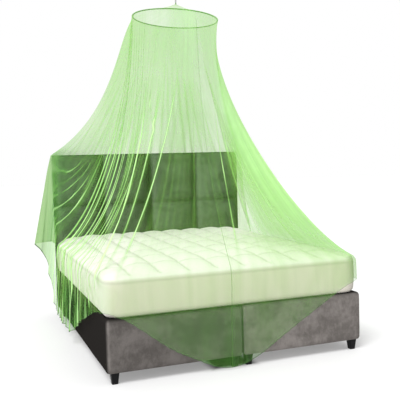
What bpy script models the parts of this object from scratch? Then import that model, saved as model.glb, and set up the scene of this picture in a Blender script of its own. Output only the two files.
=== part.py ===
"""Mosquito net canopy: a hoop-hung net draped over a plain double bed.

The net hangs from a ceiling hook: a cord, a round cap, a hoop, and one big
sheet that falls over the bed, its headboard and its mattress.  All sizes are
metres, +Z up.  The bed is modelled about the middle of its floor area, +Y to
the headboard, and the whole thing is set on the origin at the end.
"""

import math
from collections import namedtuple

import bmesh
import bpy
import numpy as np
from mathutils import Matrix, Vector

# --- driving dimensions -----------------------------------------------------

GAP = 0.0003

BED_WIDTH = 1.80
BED_FRONT_Y = -1.06
HEADBOARD_FRONT_Y = 0.96
HEADBOARD_WIDTH = 1.78
HEADBOARD_DEPTH = 0.10
HEADBOARD_TOP = 1.425
HEADBOARD_COLUMNS = 4
HEADBOARD_ROWS = 3

FOOT_HEIGHT = 0.07
FOOT_TOP_WIDTH = 0.054
FOOT_BOTTOM_WIDTH = 0.038
FOOT_INSET = 0.045

BASE_TOP = 0.40
BASE_SPLIT = 0.008
BASE_CORNER = 0.03
BASE_EDGE = 0.010

MATTRESS_TOP = 0.66
MATTRESS_INSET = 0.005
MATTRESS_CORNER = 0.09
MATTRESS_EDGE = 0.045

HOOP_CENTRE = Vector((-0.06, -0.05, 2.435))
HOOP_RADIUS = 0.325
HOOP_WIRE = 0.004
HOOP_TILT = math.radians(4.0)
HOOP_LOW_SIDE = math.radians(-20.0)

NET_THICKNESS = 0.002
NET_OUTSIDE_HOOP = 0.0053
NET_ABOVE_HOOP = 0.005
CAP_THICKNESS = 0.0015
CAP_HEIGHT = 0.105
CAP_PROFILE_POWER = 1.4
CAP_NECK_RADIUS = 0.0056
CAP_NECK_HEIGHT = 0.012
CAP_SEGMENTS = 56
CAP_ROWS = 6

SEAM_TAPE_WIDTH = 0.022
SEAM_TAPE_THICKNESS = 0.0012
SEAM_TAPE_CLEARANCE = 0.0008

CORD_RADIUS = 0.002
CORD_BOTTOM_SPREAD = 0.0026
HOOK_WIRE = 0.002
HOOK_BEND = 0.012
HOOK_DROP = 0.035
CORD_LENGTH = 0.075
PLATE_RADIUS = 0.030
PLATE_THICKNESS = 0.006

# --- how the net hangs ------------------------------------------------------
# One row for each place round the bed where the fall of the net changes.
# cloth      metres of net, measured along the hem, since the row before
# x, y, z    where the net turns over the edge that carries it
# ring_deg   where the same thread leaves the hoop
# drop       how far it falls nearly straight below the hoop, and
# spread     how far it moves outward over that fall
# pull       how far from the edge the net is drawn straight towards it, and
# rise_deg   the slope it has there
# hem_z      height of the hem
# shoulder   how far the net rounds out past the edge, just under it
# stand      how far the hem stands off that line, and
# sway       how far it swings round the bed
# columns    mesh columns since the row before

Station = namedtuple(
    "Station",
    "place cloth x y z ring_deg drop spread pull rise_deg hem_z shoulder stand sway columns",
)

STATIONS = [
    Station("front_seam", 0.00, -0.065, -1.050, 0.653, -81, 0.57, 0.05, 0.85, 48, 0.014, 0.020, 0.012, -0.022, 0),
    Station("front_right", 0.52, 0.42, -1.050, 0.653, -57, 0.55, -0.05, 0.75, 40, 0.262, 0.020, 0.008, 0.0, 6),
    Station("corner_fr_front", 0.43, 0.80, -1.047, 0.653, -43, 0.42, -0.16, 0.46, 26, 0.470, 0.020, 0.004, 0.0, 4),
    Station("corner_fr", 0.10, 0.866, -1.021, 0.653, -38, 0.40, -0.18, 0.46, 24, 0.490, 0.018, 0.003, 0.0, 2),
    Station("corner_fr_side", 0.10, 0.888, -0.95, 0.653, -33, 0.42, -0.16, 0.46, 25, 0.480, 0.020, 0.004, 0.0, 2),
    Station("right_front", 0.60, 0.889, -0.45, 0.653, -20, 0.46, -0.12, 0.55, 34, 0.20, 0.020, 0.020, 0.0, 5),
    Station("right_mid", 0.65, 0.889, 0.10, 0.653, 2, 0.50, -0.04, 0.60, 46, 0.05, 0.020, 0.030, 0.0, 8),
    Station("right_back", 0.75, 0.892, 0.68, 0.655, 24, 0.45, 0.00, 0.60, 46, 0.14, 0.020, 0.040, 0.0, 10),
    Station("headboard_right", 0.42, 0.905, 0.90, 1.10, 36, 0.36, 0.03, 0.50, 38, 0.38, 0.010, 0.050, 0.0, 5),
    Station("corner_br_front", 0.18, 0.896, 0.95, 1.430, 41, 0.26, 0.08, 0.60, 28, 0.54, 0.008, 0.045, 0.0, 3),
    Station("corner_br", 0.16, 0.895, 1.064, 1.430, 45, 0.26, 0.08, 0.60, 26, 0.60, 0.008, 0.045, 0.0, 2),
    Station("back_right", 0.62, 0.45, 1.064, 1.430, 68, 0.26, 0.10, 0.50, 38, 0.34, 0.012, 0.040, 0.0, 8),
    Station("back_mid", 0.62, -0.06, 1.064, 1.430, 95, 0.26, 0.10, 0.45, 44, 0.18, 0.012, 0.045, 0.0, 8),
    Station("back_left", 0.62, -0.50, 1.064, 1.430, 122, 0.26, 0.10, 0.50, 40, 0.32, 0.012, 0.050, 0.0, 8),
    Station("corner_bl", 0.50, -0.895, 1.064, 1.430, 149, 0.12, 0.20, 1.00, 18.9, 0.635, 0.008, 0.165, 0.0, 6),
    Station("corner_bl_front", 0.20, -0.896, 0.95, 1.430, 152, 0.16, 0.19, 0.90, 22, 0.600, 0.008, 0.120, 0.0, 2),
    Station("headboard_left", 0.28, -0.905, 0.90, 1.10, 157, 0.30, 0.13, 0.62, 30, 0.42, 0.010, 0.070, 0.0, 4),
    Station("left_back", 0.85, -0.892, 0.72, 0.660, 166, 0.46, 0.04, 0.66, 32, 0.13, 0.020, 0.030, 0.0, 9),
    Station("left_mid", 1.70, -0.889, 0.10, 0.657, 190, 0.55, 0.03, 0.60, 38, 0.074, 0.020, 0.022, 0.0, 28),
    Station("left_front", 1.30, -0.889, -0.53, 0.653, 222, 0.52, 0.06, 0.75, 42, 0.30, 0.020, 0.012, 0.0, 20),
    Station("corner_fl_side", 0.60, -0.888, -0.95, 0.653, 240, 0.42, 0.13, 0.88, 43, 0.43, 0.020, 0.004, 0.0, 6),
    Station("corner_fl", 0.10, -0.866, -1.021, 0.653, 248, 0.40, 0.13, 0.88, 44, 0.435, 0.018, 0.003, 0.0, 2),
    Station("corner_fl_front", 0.12, -0.80, -1.047, 0.653, 256, 0.40, 0.09, 0.84, 45, 0.405, 0.020, 0.004, 0.0, 2),
    Station("front_left", 0.55, -0.40, -1.050, 0.653, 269, 0.52, 0.05, 0.80, 49, 0.130, 0.020, 0.010, 0.0, 6),
    Station("front_end", 0.38, -0.065, -1.050, 0.653, 279, 0.57, 0.05, 0.85, 48, 0.014, 0.020, 0.012, -0.022, 4),
]

# The main folds, in groups: evenly counted between two places round the net,
# then made uneven.  The depths are at the hoop, at the bed's edge and at the
# hem, and lean lays each fold over sideways.
Pleats = namedtuple("Pleats", "start end count at_hoop at_edge at_hem lean")

PLEATS = [
    Pleats("left_back", "left_front", 10, 0.012, 0.026, 0.048, 0.35),
    Pleats("left_front", "corner_fl_side", 2, 0.010, 0.010, 0.016, 0.2),
    Pleats("corner_fl_front", "front_end", 3, 0.010, 0.004, 0.008, 0.0),
    Pleats("front_seam", "corner_fr_front", 3, 0.010, 0.004, 0.008, 0.0),
    Pleats("right_front", "right_back", 4, 0.008, 0.012, 0.026, 0.2),
    Pleats("right_back", "corner_br", 2, 0.010, 0.010, 0.026, 0.2),
    Pleats("corner_br", "corner_bl", 7, 0.010, 0.012, 0.034, 0.2),
    Pleats("corner_bl", "left_back", 3, 0.010, 0.014, 0.030, 0.3),
]

EDGE_SHARE = 0.66          # share of the net's length from the hoop to the bed's edge
ROWS_ABOVE_EDGE = 10
ROWS_BELOW_EDGE = 6
SHOULDER_SHARE = 0.22      # share of the hanging part that rounds over the edge

# --- colours: linear base colour, roughness, metallic ------------------------

FINISHES = {
    "net": ((0.42, 0.80, 0.28), 0.8, 0.0),
    "net_cap": ((0.45, 0.82, 0.30), 0.8, 0.0),
    "seam_tape": ((0.30, 0.62, 0.20), 0.8, 0.0),
    "hoop": ((0.10, 0.22, 0.07), 0.5, 0.0),
    "cord": ((0.25, 0.27, 0.27), 0.8, 0.0),
    "hook": ((0.45, 0.46, 0.47), 0.35, 1.0),
    "mattress": ((0.80, 0.79, 0.72), 0.85, 0.0),
    "base": ((0.19, 0.17, 0.16), 0.9, 0.0),
    "headboard": ((0.14, 0.16, 0.14), 0.9, 0.0),
    "foot": ((0.012, 0.012, 0.014), 0.35, 0.0),
}


# --- helpers ----------------------------------------------------------------

def clear_scene():
    for thing in list(bpy.data.objects):
        bpy.data.objects.remove(thing, do_unlink=True)


def new_collection(name):
    group = bpy.data.collections.new(name)
    bpy.context.scene.collection.children.link(group)
    return group


def finish_material(slot):
    colour, roughness, metallic = FINISHES[slot]
    material = bpy.data.materials.get(slot)
    if material is None:
        material = bpy.data.materials.new(slot)
        material.use_nodes = True
        shader = material.node_tree.nodes["Principled BSDF"]
        shader.inputs["Base Color"].default_value = (*colour, 1.0)
        shader.inputs["Roughness"].default_value = roughness
        shader.inputs["Metallic"].default_value = metallic
    return material


def add_part(group, name, mesh, slot, smooth_angle=None):
    """Link a mesh as a named part with its finish, smooth under the angle."""
    part = bpy.data.objects.new(name, mesh)
    part.data.materials.append(finish_material(slot))
    group.objects.link(part)
    if smooth_angle is not None:
        mesh.shade_smooth()
        mesh.set_sharp_from_angle(angle=math.radians(smooth_angle))
    return part


def mesh_from(shape, name):
    mesh = bpy.data.meshes.new(name)
    shape.to_mesh(mesh)
    shape.free()
    return mesh


def box_shape(low, high):
    """A closed box between two corners, as an open bmesh to work on."""
    shape = bmesh.new()
    size = Vector(high) - Vector(low)
    place = Matrix.Translation((Vector(low) + Vector(high)) / 2)
    bmesh.ops.create_cube(shape, size=1.0, matrix=place @ Matrix.Diagonal((*size, 1.0)))
    return shape


def round_edges(shape, edges, radius, segments):
    bmesh.ops.bevel(shape, geom=edges, offset=radius, segments=segments, profile=0.5,
                    affect="EDGES", offset_type="OFFSET", clamp_overlap=True)


def upright_edges(shape, wanted):
    """The upright edges whose middle passes the test."""
    found = []
    for edge in shape.edges:
        first, last = (corner.co for corner in edge.verts)
        if abs(first.z - last.z) > 0.01 and (first - last).xy.length < 1e-6:
            if wanted((first + last) / 2):
                found.append(edge)
    return found


def rim_edges(shape, height):
    """The outline of the level face at this height."""
    return [edge for edge in shape.edges
            if all(abs(corner.co.z - height) < 1e-6 for corner in edge.verts)
            and any(abs(face.normal.z) < 0.5 for face in edge.link_faces)]


def solidify(part, thickness, offset):
    """Give an open sheet its thickness: offset 1 is all on the outside."""
    wall = part.modifiers.new("thickness", "SOLIDIFY")
    wall.thickness = thickness
    wall.offset = offset
    wall.use_even_offset = True
    wall.use_quality_normals = True
    return wall


# --- the bed ----------------------------------------------------------------

def make_bases(group):
    """Two upholstered base halves side by side, with a narrow split between."""
    back_y = HEADBOARD_FRONT_Y - GAP
    for name, side in (("base_left", -1), ("base_right", 1)):
        inner = side * BASE_SPLIT / 2
        outer = side * BED_WIDTH / 2
        shape = box_shape((min(inner, outer), BED_FRONT_Y, FOOT_HEIGHT),
                          (max(inner, outer), back_y, BASE_TOP))
        shape.normal_update()
        corners = upright_edges(shape, lambda at: at.y < 0 and abs(at.x - outer) < 0.01)
        round_edges(shape, corners, BASE_CORNER, 4)
        shape.normal_update()
        rims = rim_edges(shape, FOOT_HEIGHT) + rim_edges(shape, BASE_TOP)
        round_edges(shape, rims, BASE_EDGE, 2)
        add_part(group, name, mesh_from(shape, name), "base", 35)


def make_feet(group):
    """Square tapered feet, four under each half of the base."""
    outer_x = BED_WIDTH / 2 - FOOT_INSET - 0.012
    inner_x = BASE_SPLIT / 2 + FOOT_INSET
    rows = {"front": BED_FRONT_Y + FOOT_INSET, "back": HEADBOARD_FRONT_Y - FOOT_INSET - 0.02}
    columns = {"left": -outer_x, "middle_left": -inner_x, "middle_right": inner_x, "right": outer_x}
    top = FOOT_HEIGHT - GAP
    for row, y in rows.items():
        for column, x in columns.items():
            shape = bmesh.new()
            place = Matrix.Translation((x, y, top / 2)) @ Matrix.Rotation(math.pi / 4, 4, "Z")
            bmesh.ops.create_cone(shape, cap_ends=True, segments=4,
                                  radius1=FOOT_BOTTOM_WIDTH / math.sqrt(2),
                                  radius2=FOOT_TOP_WIDTH / math.sqrt(2), depth=top, matrix=place)
            sides = [edge for edge in shape.edges
                     if abs(edge.verts[0].co.z - edge.verts[1].co.z) > top / 2]
            round_edges(shape, sides, 0.006, 2)
            name = f"foot_{row}_{column}"
            add_part(group, name, mesh_from(shape, name), "foot", 40)


def make_mattress(group):
    """A plain soft block, round at its corners and edges."""
    half = BED_WIDTH / 2 - MATTRESS_INSET
    low = BASE_TOP + GAP
    shape = box_shape((-half, BED_FRONT_Y + MATTRESS_INSET, low),
                      (half, HEADBOARD_FRONT_Y - MATTRESS_INSET, MATTRESS_TOP))
    shape.normal_update()
    round_edges(shape, upright_edges(shape, lambda at: True), MATTRESS_CORNER, 5)
    shape.normal_update()
    rims = rim_edges(shape, low) + rim_edges(shape, MATTRESS_TOP)
    round_edges(shape, rims, MATTRESS_EDGE, 4)
    add_part(group, "mattress", mesh_from(shape, "mattress"), "mattress", 50)


def make_headboard(group):
    """A padded board: a slab with a grid of low cushions on its front."""
    pad = 0.022
    half = HEADBOARD_WIDTH / 2
    front = HEADBOARD_FRONT_Y + pad
    back = HEADBOARD_FRONT_Y + HEADBOARD_DEPTH
    height = HEADBOARD_TOP - FOOT_HEIGHT
    shape = box_shape((-half, front, FOOT_HEIGHT), (half, back, HEADBOARD_TOP))
    for share in range(1, HEADBOARD_COLUMNS):
        x = -half + HEADBOARD_WIDTH * share / HEADBOARD_COLUMNS
        bmesh.ops.bisect_plane(shape, geom=shape.verts[:] + shape.edges[:] + shape.faces[:],
                               plane_co=(x, 0, 0), plane_no=(1, 0, 0))
    for share in range(1, HEADBOARD_ROWS):
        z = FOOT_HEIGHT + height * share / HEADBOARD_ROWS
        bmesh.ops.bisect_plane(shape, geom=shape.verts[:] + shape.edges[:] + shape.faces[:],
                               plane_co=(0, 0, z), plane_no=(0, 0, 1))
    shape.normal_update()
    pads = [face for face in shape.faces if face.normal.y < -0.9]
    bmesh.ops.inset_individual(shape, faces=pads, thickness=0.003, depth=0.0)
    bmesh.ops.inset_individual(shape, faces=pads, thickness=0.008, depth=pad * 0.6)
    bmesh.ops.inset_individual(shape, faces=pads, thickness=0.020, depth=pad * 0.3)
    bmesh.ops.inset_individual(shape, faces=pads, thickness=0.050, depth=pad * 0.1)
    add_part(group, "headboard", mesh_from(shape, "headboard"), "headboard", 40)


# --- the hoop's frame, shared by hoop, cap and skirt --------------------------

def hoop_matrix():
    """The hoop lies in its own XY plane, tipped down towards its low side."""
    axis = Vector((-math.sin(HOOP_LOW_SIDE), math.cos(HOOP_LOW_SIDE), 0.0))
    return Matrix.Translation(HOOP_CENTRE) @ Matrix.Rotation(HOOP_TILT, 4, axis)


def hoop_points(angle, radius, height):
    """Points at an angle, radius and height in the hoop's frame, as an array."""
    frame = np.array(hoop_matrix())
    local = np.stack([radius * np.cos(angle), radius * np.sin(angle),
                      height + 0.0 * angle], axis=-1)
    return local @ frame[:3, :3].T + frame[:3, 3]


def make_hoop(group):
    shape = bmesh.new()
    circle = bmesh.ops.create_circle(
        shape, cap_ends=False, radius=HOOP_WIRE, segments=8,
        matrix=Matrix.Translation((HOOP_RADIUS, 0, 0)) @ Matrix.Rotation(math.pi / 2, 4, "X"))
    ring_edges = list({edge for corner in circle["verts"] for edge in corner.link_edges})
    bmesh.ops.spin(shape, geom=circle["verts"] + ring_edges, cent=(0, 0, 0), axis=(0, 0, 1),
                   angle=math.tau, steps=64, use_merge=True)
    bmesh.ops.remove_doubles(shape, verts=shape.verts, dist=0.0001)
    bmesh.ops.recalc_face_normals(shape, faces=shape.faces)
    hoop = add_part(group, "hoop", mesh_from(shape, "hoop"), "hoop", 80)
    hoop.matrix_world = hoop_matrix()


def make_cap(group):
    """The round cap: a shallow hollow cone from the hoop up to its neck."""
    rim = HOOP_RADIUS + HOOP_WIRE + 0.0005
    rim_height = HOOP_WIRE + GAP + 0.0001
    shape = bmesh.new()
    bmesh.ops.create_grid(shape, x_segments=CAP_SEGMENTS, y_segments=CAP_ROWS + 1, size=0.5)
    for corner in shape.verts:
        angle = (corner.co.x + 0.5) * math.tau
        step = (corner.co.y + 0.5) * (CAP_ROWS + 1)
        share = min(step / CAP_ROWS, 1.0)
        in_neck = max(step - CAP_ROWS, 0.0)
        radius = rim + (CAP_NECK_RADIUS - rim) * share
        height = rim_height + CAP_HEIGHT * share ** CAP_PROFILE_POWER + CAP_NECK_HEIGHT * in_neck
        corner.co = Vector(hoop_points(np.array(angle), radius, height))
    bmesh.ops.remove_doubles(shape, verts=shape.verts, dist=0.0001)
    bmesh.ops.recalc_face_normals(shape, faces=shape.faces)
    top_side = max(shape.faces, key=lambda face: abs(face.normal.z))
    if top_side.normal.z < 0:
        bmesh.ops.reverse_faces(shape, faces=shape.faces)
    cap = add_part(group, "net_cap", mesh_from(shape, "net_cap"), "net_cap", 60)
    solidify(cap, CAP_THICKNESS, 1.0)


# --- the skirt ----------------------------------------------------------------

def station_shares():
    """Share of the way round the net of each station, from 0 to 1."""
    cloth = np.cumsum([station.cloth for station in STATIONS])
    return cloth / cloth[-1]


def smooth_through(at, values, where):
    """A curve through the values that never overshoots between them."""
    at = np.asarray(at, float)
    values = np.asarray(values, float)
    steps = np.diff(at)
    slopes = np.diff(values) / steps
    tangents = np.zeros_like(values)
    for i in range(1, len(slopes)):
        before, after = slopes[i - 1], slopes[i]
        if before * after > 0:
            heavy = 2 * steps[i] + steps[i - 1]
            light = steps[i] + 2 * steps[i - 1]
            tangents[i] = (heavy + light) / (heavy / before + light / after)
    ends = slopes[0] * slopes[-1]
    tangents[0] = tangents[-1] = 0.0 if ends <= 0 else 2 * ends / (slopes[0] + slopes[-1])
    left = np.clip(np.searchsorted(at, where, side="right") - 1, 0, len(steps) - 1)
    t = (where - at[left]) / steps[left]
    return ((2 * t**3 - 3 * t**2 + 1) * values[left]
            + (t**3 - 2 * t**2 + t) * steps[left] * tangents[left]
            + (3 * t**2 - 2 * t**3) * values[left + 1]
            + (t**3 - t**2) * steps[left] * tangents[left + 1])


def along(name, u):
    """One column of the station table, read at u round the net."""
    return smooth_through(station_shares(), [getattr(row, name) for row in STATIONS], u)


def level_directions(u):
    """Straight away from the bed, and round it, at the outline the net hangs over."""
    step = 2e-3
    before, after = (u - step) % 1.0, (u + step) % 1.0
    run = np.stack([along(name, after) - along(name, before) for name in "xy"]
                   + [np.zeros_like(u)], axis=-1)
    run /= np.linalg.norm(run, axis=-1, keepdims=True)
    straight_out = np.stack([run[..., 1], -run[..., 0], run[..., 2]], axis=-1)
    return straight_out, run


def plain_net(u, v):
    """The net without folds: v is 0 at the hoop, EDGE_SHARE at the edge, 1 at the hem."""
    up = np.array([0.0, 0.0, 1.0])
    top = hoop_points(np.radians(along("ring_deg", u)), HOOP_RADIUS + NET_OUTSIDE_HOOP,
                      NET_ABOVE_HOOP)
    edge = np.stack([along(name, u) for name in "xyz"], axis=-1)
    away = (edge - top) * (1.0, 1.0, 0.0)
    away /= np.linalg.norm(away, axis=-1, keepdims=True)
    rise = np.radians(along("rise_deg", u))[..., None]
    below_top = top - up * along("drop", u)[..., None] + away * along("spread", u)[..., None]
    above_edge = edge + along("pull", u)[..., None] * (up * np.sin(rise) - away * np.cos(rise))
    t = np.clip(v / EDGE_SHARE, 0, 1)[..., None]
    falling = ((1 - t)**3 * top + 3 * (1 - t)**2 * t * below_top
               + 3 * (1 - t) * t**2 * above_edge + t**3 * edge)
    w = np.clip((v - EDGE_SHARE) / (1 - EDGE_SHARE), 0, 1)[..., None]
    rounding = np.sin(np.clip(w / SHOULDER_SHARE, 0, 1) * math.pi / 2)
    straight_out, run = level_directions(u)
    hanging = edge + run * along("sway", u)[..., None] * w + straight_out * (
        along("shoulder", u)[..., None] * rounding + along("stand", u)[..., None] * w)
    hanging[..., 2:] += (along("hem_z", u)[..., None] - edge[..., 2:]) * w
    return np.where(w > 0, hanging, falling)


def folds(u, v):
    """How far the main folds stand out, and how far they lean sideways."""
    places = dict(zip([row.place for row in STATIONS], station_shares()))
    out = np.zeros_like(u)
    sideways = np.zeros_like(u)
    for group in PLEATS:
        start, end = places[group.start], places[group.end]
        inside = (u > start) & (u < end)
        share = np.clip((u - start) / (end - start), 0, 1)
        uneven_step = share * (1 - share) * 0.30 * np.sin(9.0 * share + group.count)
        turns = group.count * (share + uneven_step)
        uneven_depth = 0.78 + 0.22 * np.sin(5.1 * turns / 2 + group.count)
        depth = np.interp(v, [0.0, 0.10, EDGE_SHARE, 1.0],
                          [0.0, group.at_hoop, group.at_edge, group.at_hem])
        wave = (1 - np.cos(math.tau * turns)) / 2
        out += np.where(inside, depth * uneven_depth * wave, 0.0)
        sideways += np.where(inside, depth * group.lean * np.sin(math.tau * turns) / 2, 0.0)
    return out, sideways


def net_point(u, v):
    """A point of the net's inner face, folds and all."""
    out, sideways = folds(u, v)
    straight_out, run = level_directions(u)
    return plain_net(u, v) + straight_out * out[..., None] + run * sideways[..., None]


def net_columns():
    """Where the mesh columns stand round the net, close together in the folds.

    The first and last but one stand under the edges of the seam tape.
    """
    shares = station_shares()
    columns = [0.0]
    for i in range(1, len(STATIONS)):
        count = STATIONS[i].columns
        columns += [shares[i - 1] + (shares[i] - shares[i - 1]) * k / count
                    for k in range(1, count + 1)]
    half_tape = SEAM_TAPE_WIDTH / 2 / sum(row.cloth for row in STATIONS)
    return np.array([0.0, half_tape] + columns[1:-1] + [1.0 - half_tape, 1.0])


def net_rows():
    above = np.linspace(0, EDGE_SHARE, ROWS_ABOVE_EDGE + 1)
    first = EDGE_SHARE + (1 - EDGE_SHARE) * SHOULDER_SHARE * 0.45
    second = EDGE_SHARE + (1 - EDGE_SHARE) * SHOULDER_SHARE
    below = np.linspace(second, 1, ROWS_BELOW_EDGE)
    return np.concatenate([above, [first], below])


def sheet_shape(columns, rows, point):
    """A grid whose columns and rows are laid where point(u, v) puts them."""
    shape = bmesh.new()
    bmesh.ops.create_grid(shape, x_segments=len(columns) - 1, y_segments=len(rows) - 1, size=0.5)
    corners = list(shape.verts)
    across = np.array([round((c.co.x + 0.5) * (len(columns) - 1)) for c in corners])
    down = np.array([round((c.co.y + 0.5) * (len(rows) - 1)) for c in corners])
    places = point(columns[across], rows[down])
    for corner, place in zip(corners, places):
        corner.co = place
    return shape


def face_outward(shape, centre):
    """Turn the faces of an open sheet away from the upright line through centre."""
    shape.normal_update()
    leaning = sum(face.normal.dot((face.calc_center_median() - centre) * Vector((1, 1, 0)))
                  * face.calc_area() for face in shape.faces)
    if leaning < 0:
        bmesh.ops.reverse_faces(shape, faces=shape.faces)


def make_skirt(group):
    """The one big sheet, closed round the bed."""
    shape = sheet_shape(net_columns(), net_rows(), net_point)
    bmesh.ops.remove_doubles(shape, verts=shape.verts, dist=0.0001)
    face_outward(shape, Vector((0, 0, 0)))
    skirt = add_part(group, "net_skirt", mesh_from(shape, "net_skirt"), "net", 60)
    solidify(skirt, NET_THICKNESS, 1.0)


def make_seam_tape(group):
    """The doubled strip down the front, laid on the skirt's own columns."""
    columns = net_columns()
    columns = np.array([columns[-2] - 1.0, 0.0, columns[1]])
    rows = net_rows()[1:].copy()
    rows[-1] -= 0.002
    lift = NET_THICKNESS + SEAM_TAPE_CLEARANCE

    def on_the_net(u, v):
        return net_point(u % 1.0, v)

    shape = sheet_shape(columns, rows, on_the_net)
    face_outward(shape, Vector((0, 0, 0)))
    shape.normal_update()
    lifted = [corner.co + corner.normal * lift for corner in shape.verts]
    for corner, place in zip(shape.verts, lifted):
        corner.co = place
    tape = add_part(group, "front_seam_tape", mesh_from(shape, "front_seam_tape"), "seam_tape", 60)
    solidify(tape, SEAM_TAPE_THICKNESS, 1.0)


# --- what the net hangs from ---------------------------------------------------

def neck_point():
    """Middle of the cap's neck, halfway up it."""
    height = HOOP_WIRE + GAP + CAP_HEIGHT + CAP_NECK_HEIGHT / 2
    return Vector(hoop_points(np.array(0.0), 0.0, height))


def add_wire(group, name, slot, points, radius, cyclic):
    """A round wire through the points, with closed ends."""
    curve = bpy.data.curves.new(name, "CURVE")
    curve.dimensions = "3D"
    curve.bevel_depth = radius
    curve.bevel_resolution = 2
    curve.use_fill_caps = not cyclic
    line = curve.splines.new("POLY")
    line.points.add(len(points) - 1)
    for knot, place in zip(line.points, points):
        knot.co = (*place, 1.0)
    line.use_cyclic_u = cyclic
    wire = bpy.data.objects.new(name, curve)
    curve.materials.append(finish_material(slot))
    group.objects.link(wire)
    return wire


def make_cord(group):
    """A closed loop of cord: sewn into the neck below, over the hook above."""
    neck = neck_point()
    low = neck.z - CAP_NECK_HEIGHT * 0.1
    high = low + CORD_LENGTH
    bend = HOOK_WIRE + GAP + CORD_RADIUS + 0.0002
    steps = 8
    points = []
    for k in range(steps + 1):
        angle = math.pi * k / steps
        points.append((bend * math.cos(angle), high + bend * math.sin(angle)))
    for k in range(1, 4):
        share = k / 4
        points.append((-bend + (bend - CORD_BOTTOM_SPREAD) * share, high + (low - high) * share))
    for k in range(steps + 1):
        angle = math.pi + math.pi * k / steps
        points.append((CORD_BOTTOM_SPREAD * math.cos(angle),
                       low + CORD_BOTTOM_SPREAD * math.sin(angle)))
    for k in range(3, 0, -1):
        share = k / 4
        points.append((bend - (bend - CORD_BOTTOM_SPREAD) * share, high + (low - high) * share))
    places = [(neck.x + x, neck.y, z) for x, z in points]
    add_wire(group, "hanging_cord", "cord", places, CORD_RADIUS, True)
    return Vector((neck.x, neck.y, high))


def make_hook(group, cord_top):
    """A plain wire hook and the round plate it is fixed to."""
    bend_centre = cord_top + Vector((0, 0, HOOK_BEND))
    shank_top = bend_centre.z + HOOK_DROP
    points = []
    for k in range(13):
        angle = math.radians(20 - 290 * k / 12)
        points.append((cord_top.x, bend_centre.y + HOOK_BEND * math.cos(angle),
                       bend_centre.z + HOOK_BEND * math.sin(angle)))
    points += [(cord_top.x, cord_top.y, bend_centre.z + HOOK_BEND * 1.35),
               (cord_top.x, cord_top.y, shank_top)]
    add_wire(group, "ceiling_hook", "hook", points, HOOK_WIRE, False)

    shape = bmesh.new()
    place = Matrix.Translation((cord_top.x, cord_top.y, shank_top + GAP + PLATE_THICKNESS / 2))
    bmesh.ops.create_cone(shape, cap_ends=True, segments=32, radius1=PLATE_RADIUS * 0.85,
                          radius2=PLATE_RADIUS, depth=PLATE_THICKNESS, matrix=place)
    add_part(group, "hook_plate", mesh_from(shape, "hook_plate"), "hook", 40)


# --- putting it together ----------------------------------------------------------

def set_on_origin(group):
    """Move everything so the origin is under the middle of the whole thing."""
    bpy.context.view_layer.update()
    graph = bpy.context.evaluated_depsgraph_get()
    corners = []
    for part in group.objects:
        seen = part.evaluated_get(graph)
        mesh = seen.to_mesh()
        corners += [seen.matrix_world @ corner.co for corner in mesh.vertices]
        seen.to_mesh_clear()
    low = Vector(min(corner[i] for corner in corners) for i in range(3))
    high = Vector(max(corner[i] for corner in corners) for i in range(3))
    shift = Vector((-(low.x + high.x) / 2, -(low.y + high.y) / 2, -low.z))
    for part in group.objects:
        part.matrix_world = Matrix.Translation(shift) @ part.matrix_world


def main():
    clear_scene()
    group = new_collection("mosquito_net_canopy")
    make_bases(group)
    make_feet(group)
    make_mattress(group)
    make_headboard(group)
    make_hoop(group)
    make_cap(group)
    make_skirt(group)
    make_seam_tape(group)
    cord_top = make_cord(group)
    make_hook(group, cord_top)
    set_on_origin(group)


main()
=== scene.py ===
"""Mosquito net canopy over a double bed: its cloth, finishes, stage and camera.

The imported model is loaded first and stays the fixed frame.  The net, the bed's
upholstery and the mattress are then built finer over it.  All sizes are metres,
+Z up.  The net is laid out in the bed's own coordinates, about the middle of
the base, and BED moves them into the frame's.
"""

import math
from collections import namedtuple

import bmesh
import bpy
import numpy as np
from bpy.props import (FloatProperty, FloatVectorProperty, IntProperty,
                       PointerProperty)
from bpy.types import Operator, Panel, PropertyGroup
from mathutils import Matrix, Vector


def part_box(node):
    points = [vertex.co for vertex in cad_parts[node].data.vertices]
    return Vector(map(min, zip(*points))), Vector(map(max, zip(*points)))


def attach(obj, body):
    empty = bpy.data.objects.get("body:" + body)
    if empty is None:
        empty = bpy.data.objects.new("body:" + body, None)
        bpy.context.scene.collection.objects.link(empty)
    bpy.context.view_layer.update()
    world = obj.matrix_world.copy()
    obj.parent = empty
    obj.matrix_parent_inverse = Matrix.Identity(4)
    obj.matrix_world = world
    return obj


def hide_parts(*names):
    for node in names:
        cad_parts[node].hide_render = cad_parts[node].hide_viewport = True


bl_info = {
    "name": "Mosquito net canopy",
    "version": (1, 0, 0),
    "blender": (4, 5, 0),
    "location": "View3D > Sidebar > Canopy",
    "description": "Dresses a bed and its hoop-hung mosquito net",
    "category": "Object",
}

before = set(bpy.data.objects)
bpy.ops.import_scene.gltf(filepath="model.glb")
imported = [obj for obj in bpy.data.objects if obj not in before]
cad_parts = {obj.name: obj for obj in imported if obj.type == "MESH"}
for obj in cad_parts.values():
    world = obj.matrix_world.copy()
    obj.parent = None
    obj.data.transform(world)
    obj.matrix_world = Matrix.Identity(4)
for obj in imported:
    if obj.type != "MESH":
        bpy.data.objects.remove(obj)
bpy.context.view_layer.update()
mattress_low, mattress_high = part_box("mattress")
MATTRESS_MIDDLE_Y = -0.05
BED = Vector(((mattress_low.x + mattress_high.x) / 2,
              (mattress_low.y + mattress_high.y) / 2 - MATTRESS_MIDDLE_Y, 0.0))

# --- sizes of the net, the hoop and the cap, most of them the solid's own ------------

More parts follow.
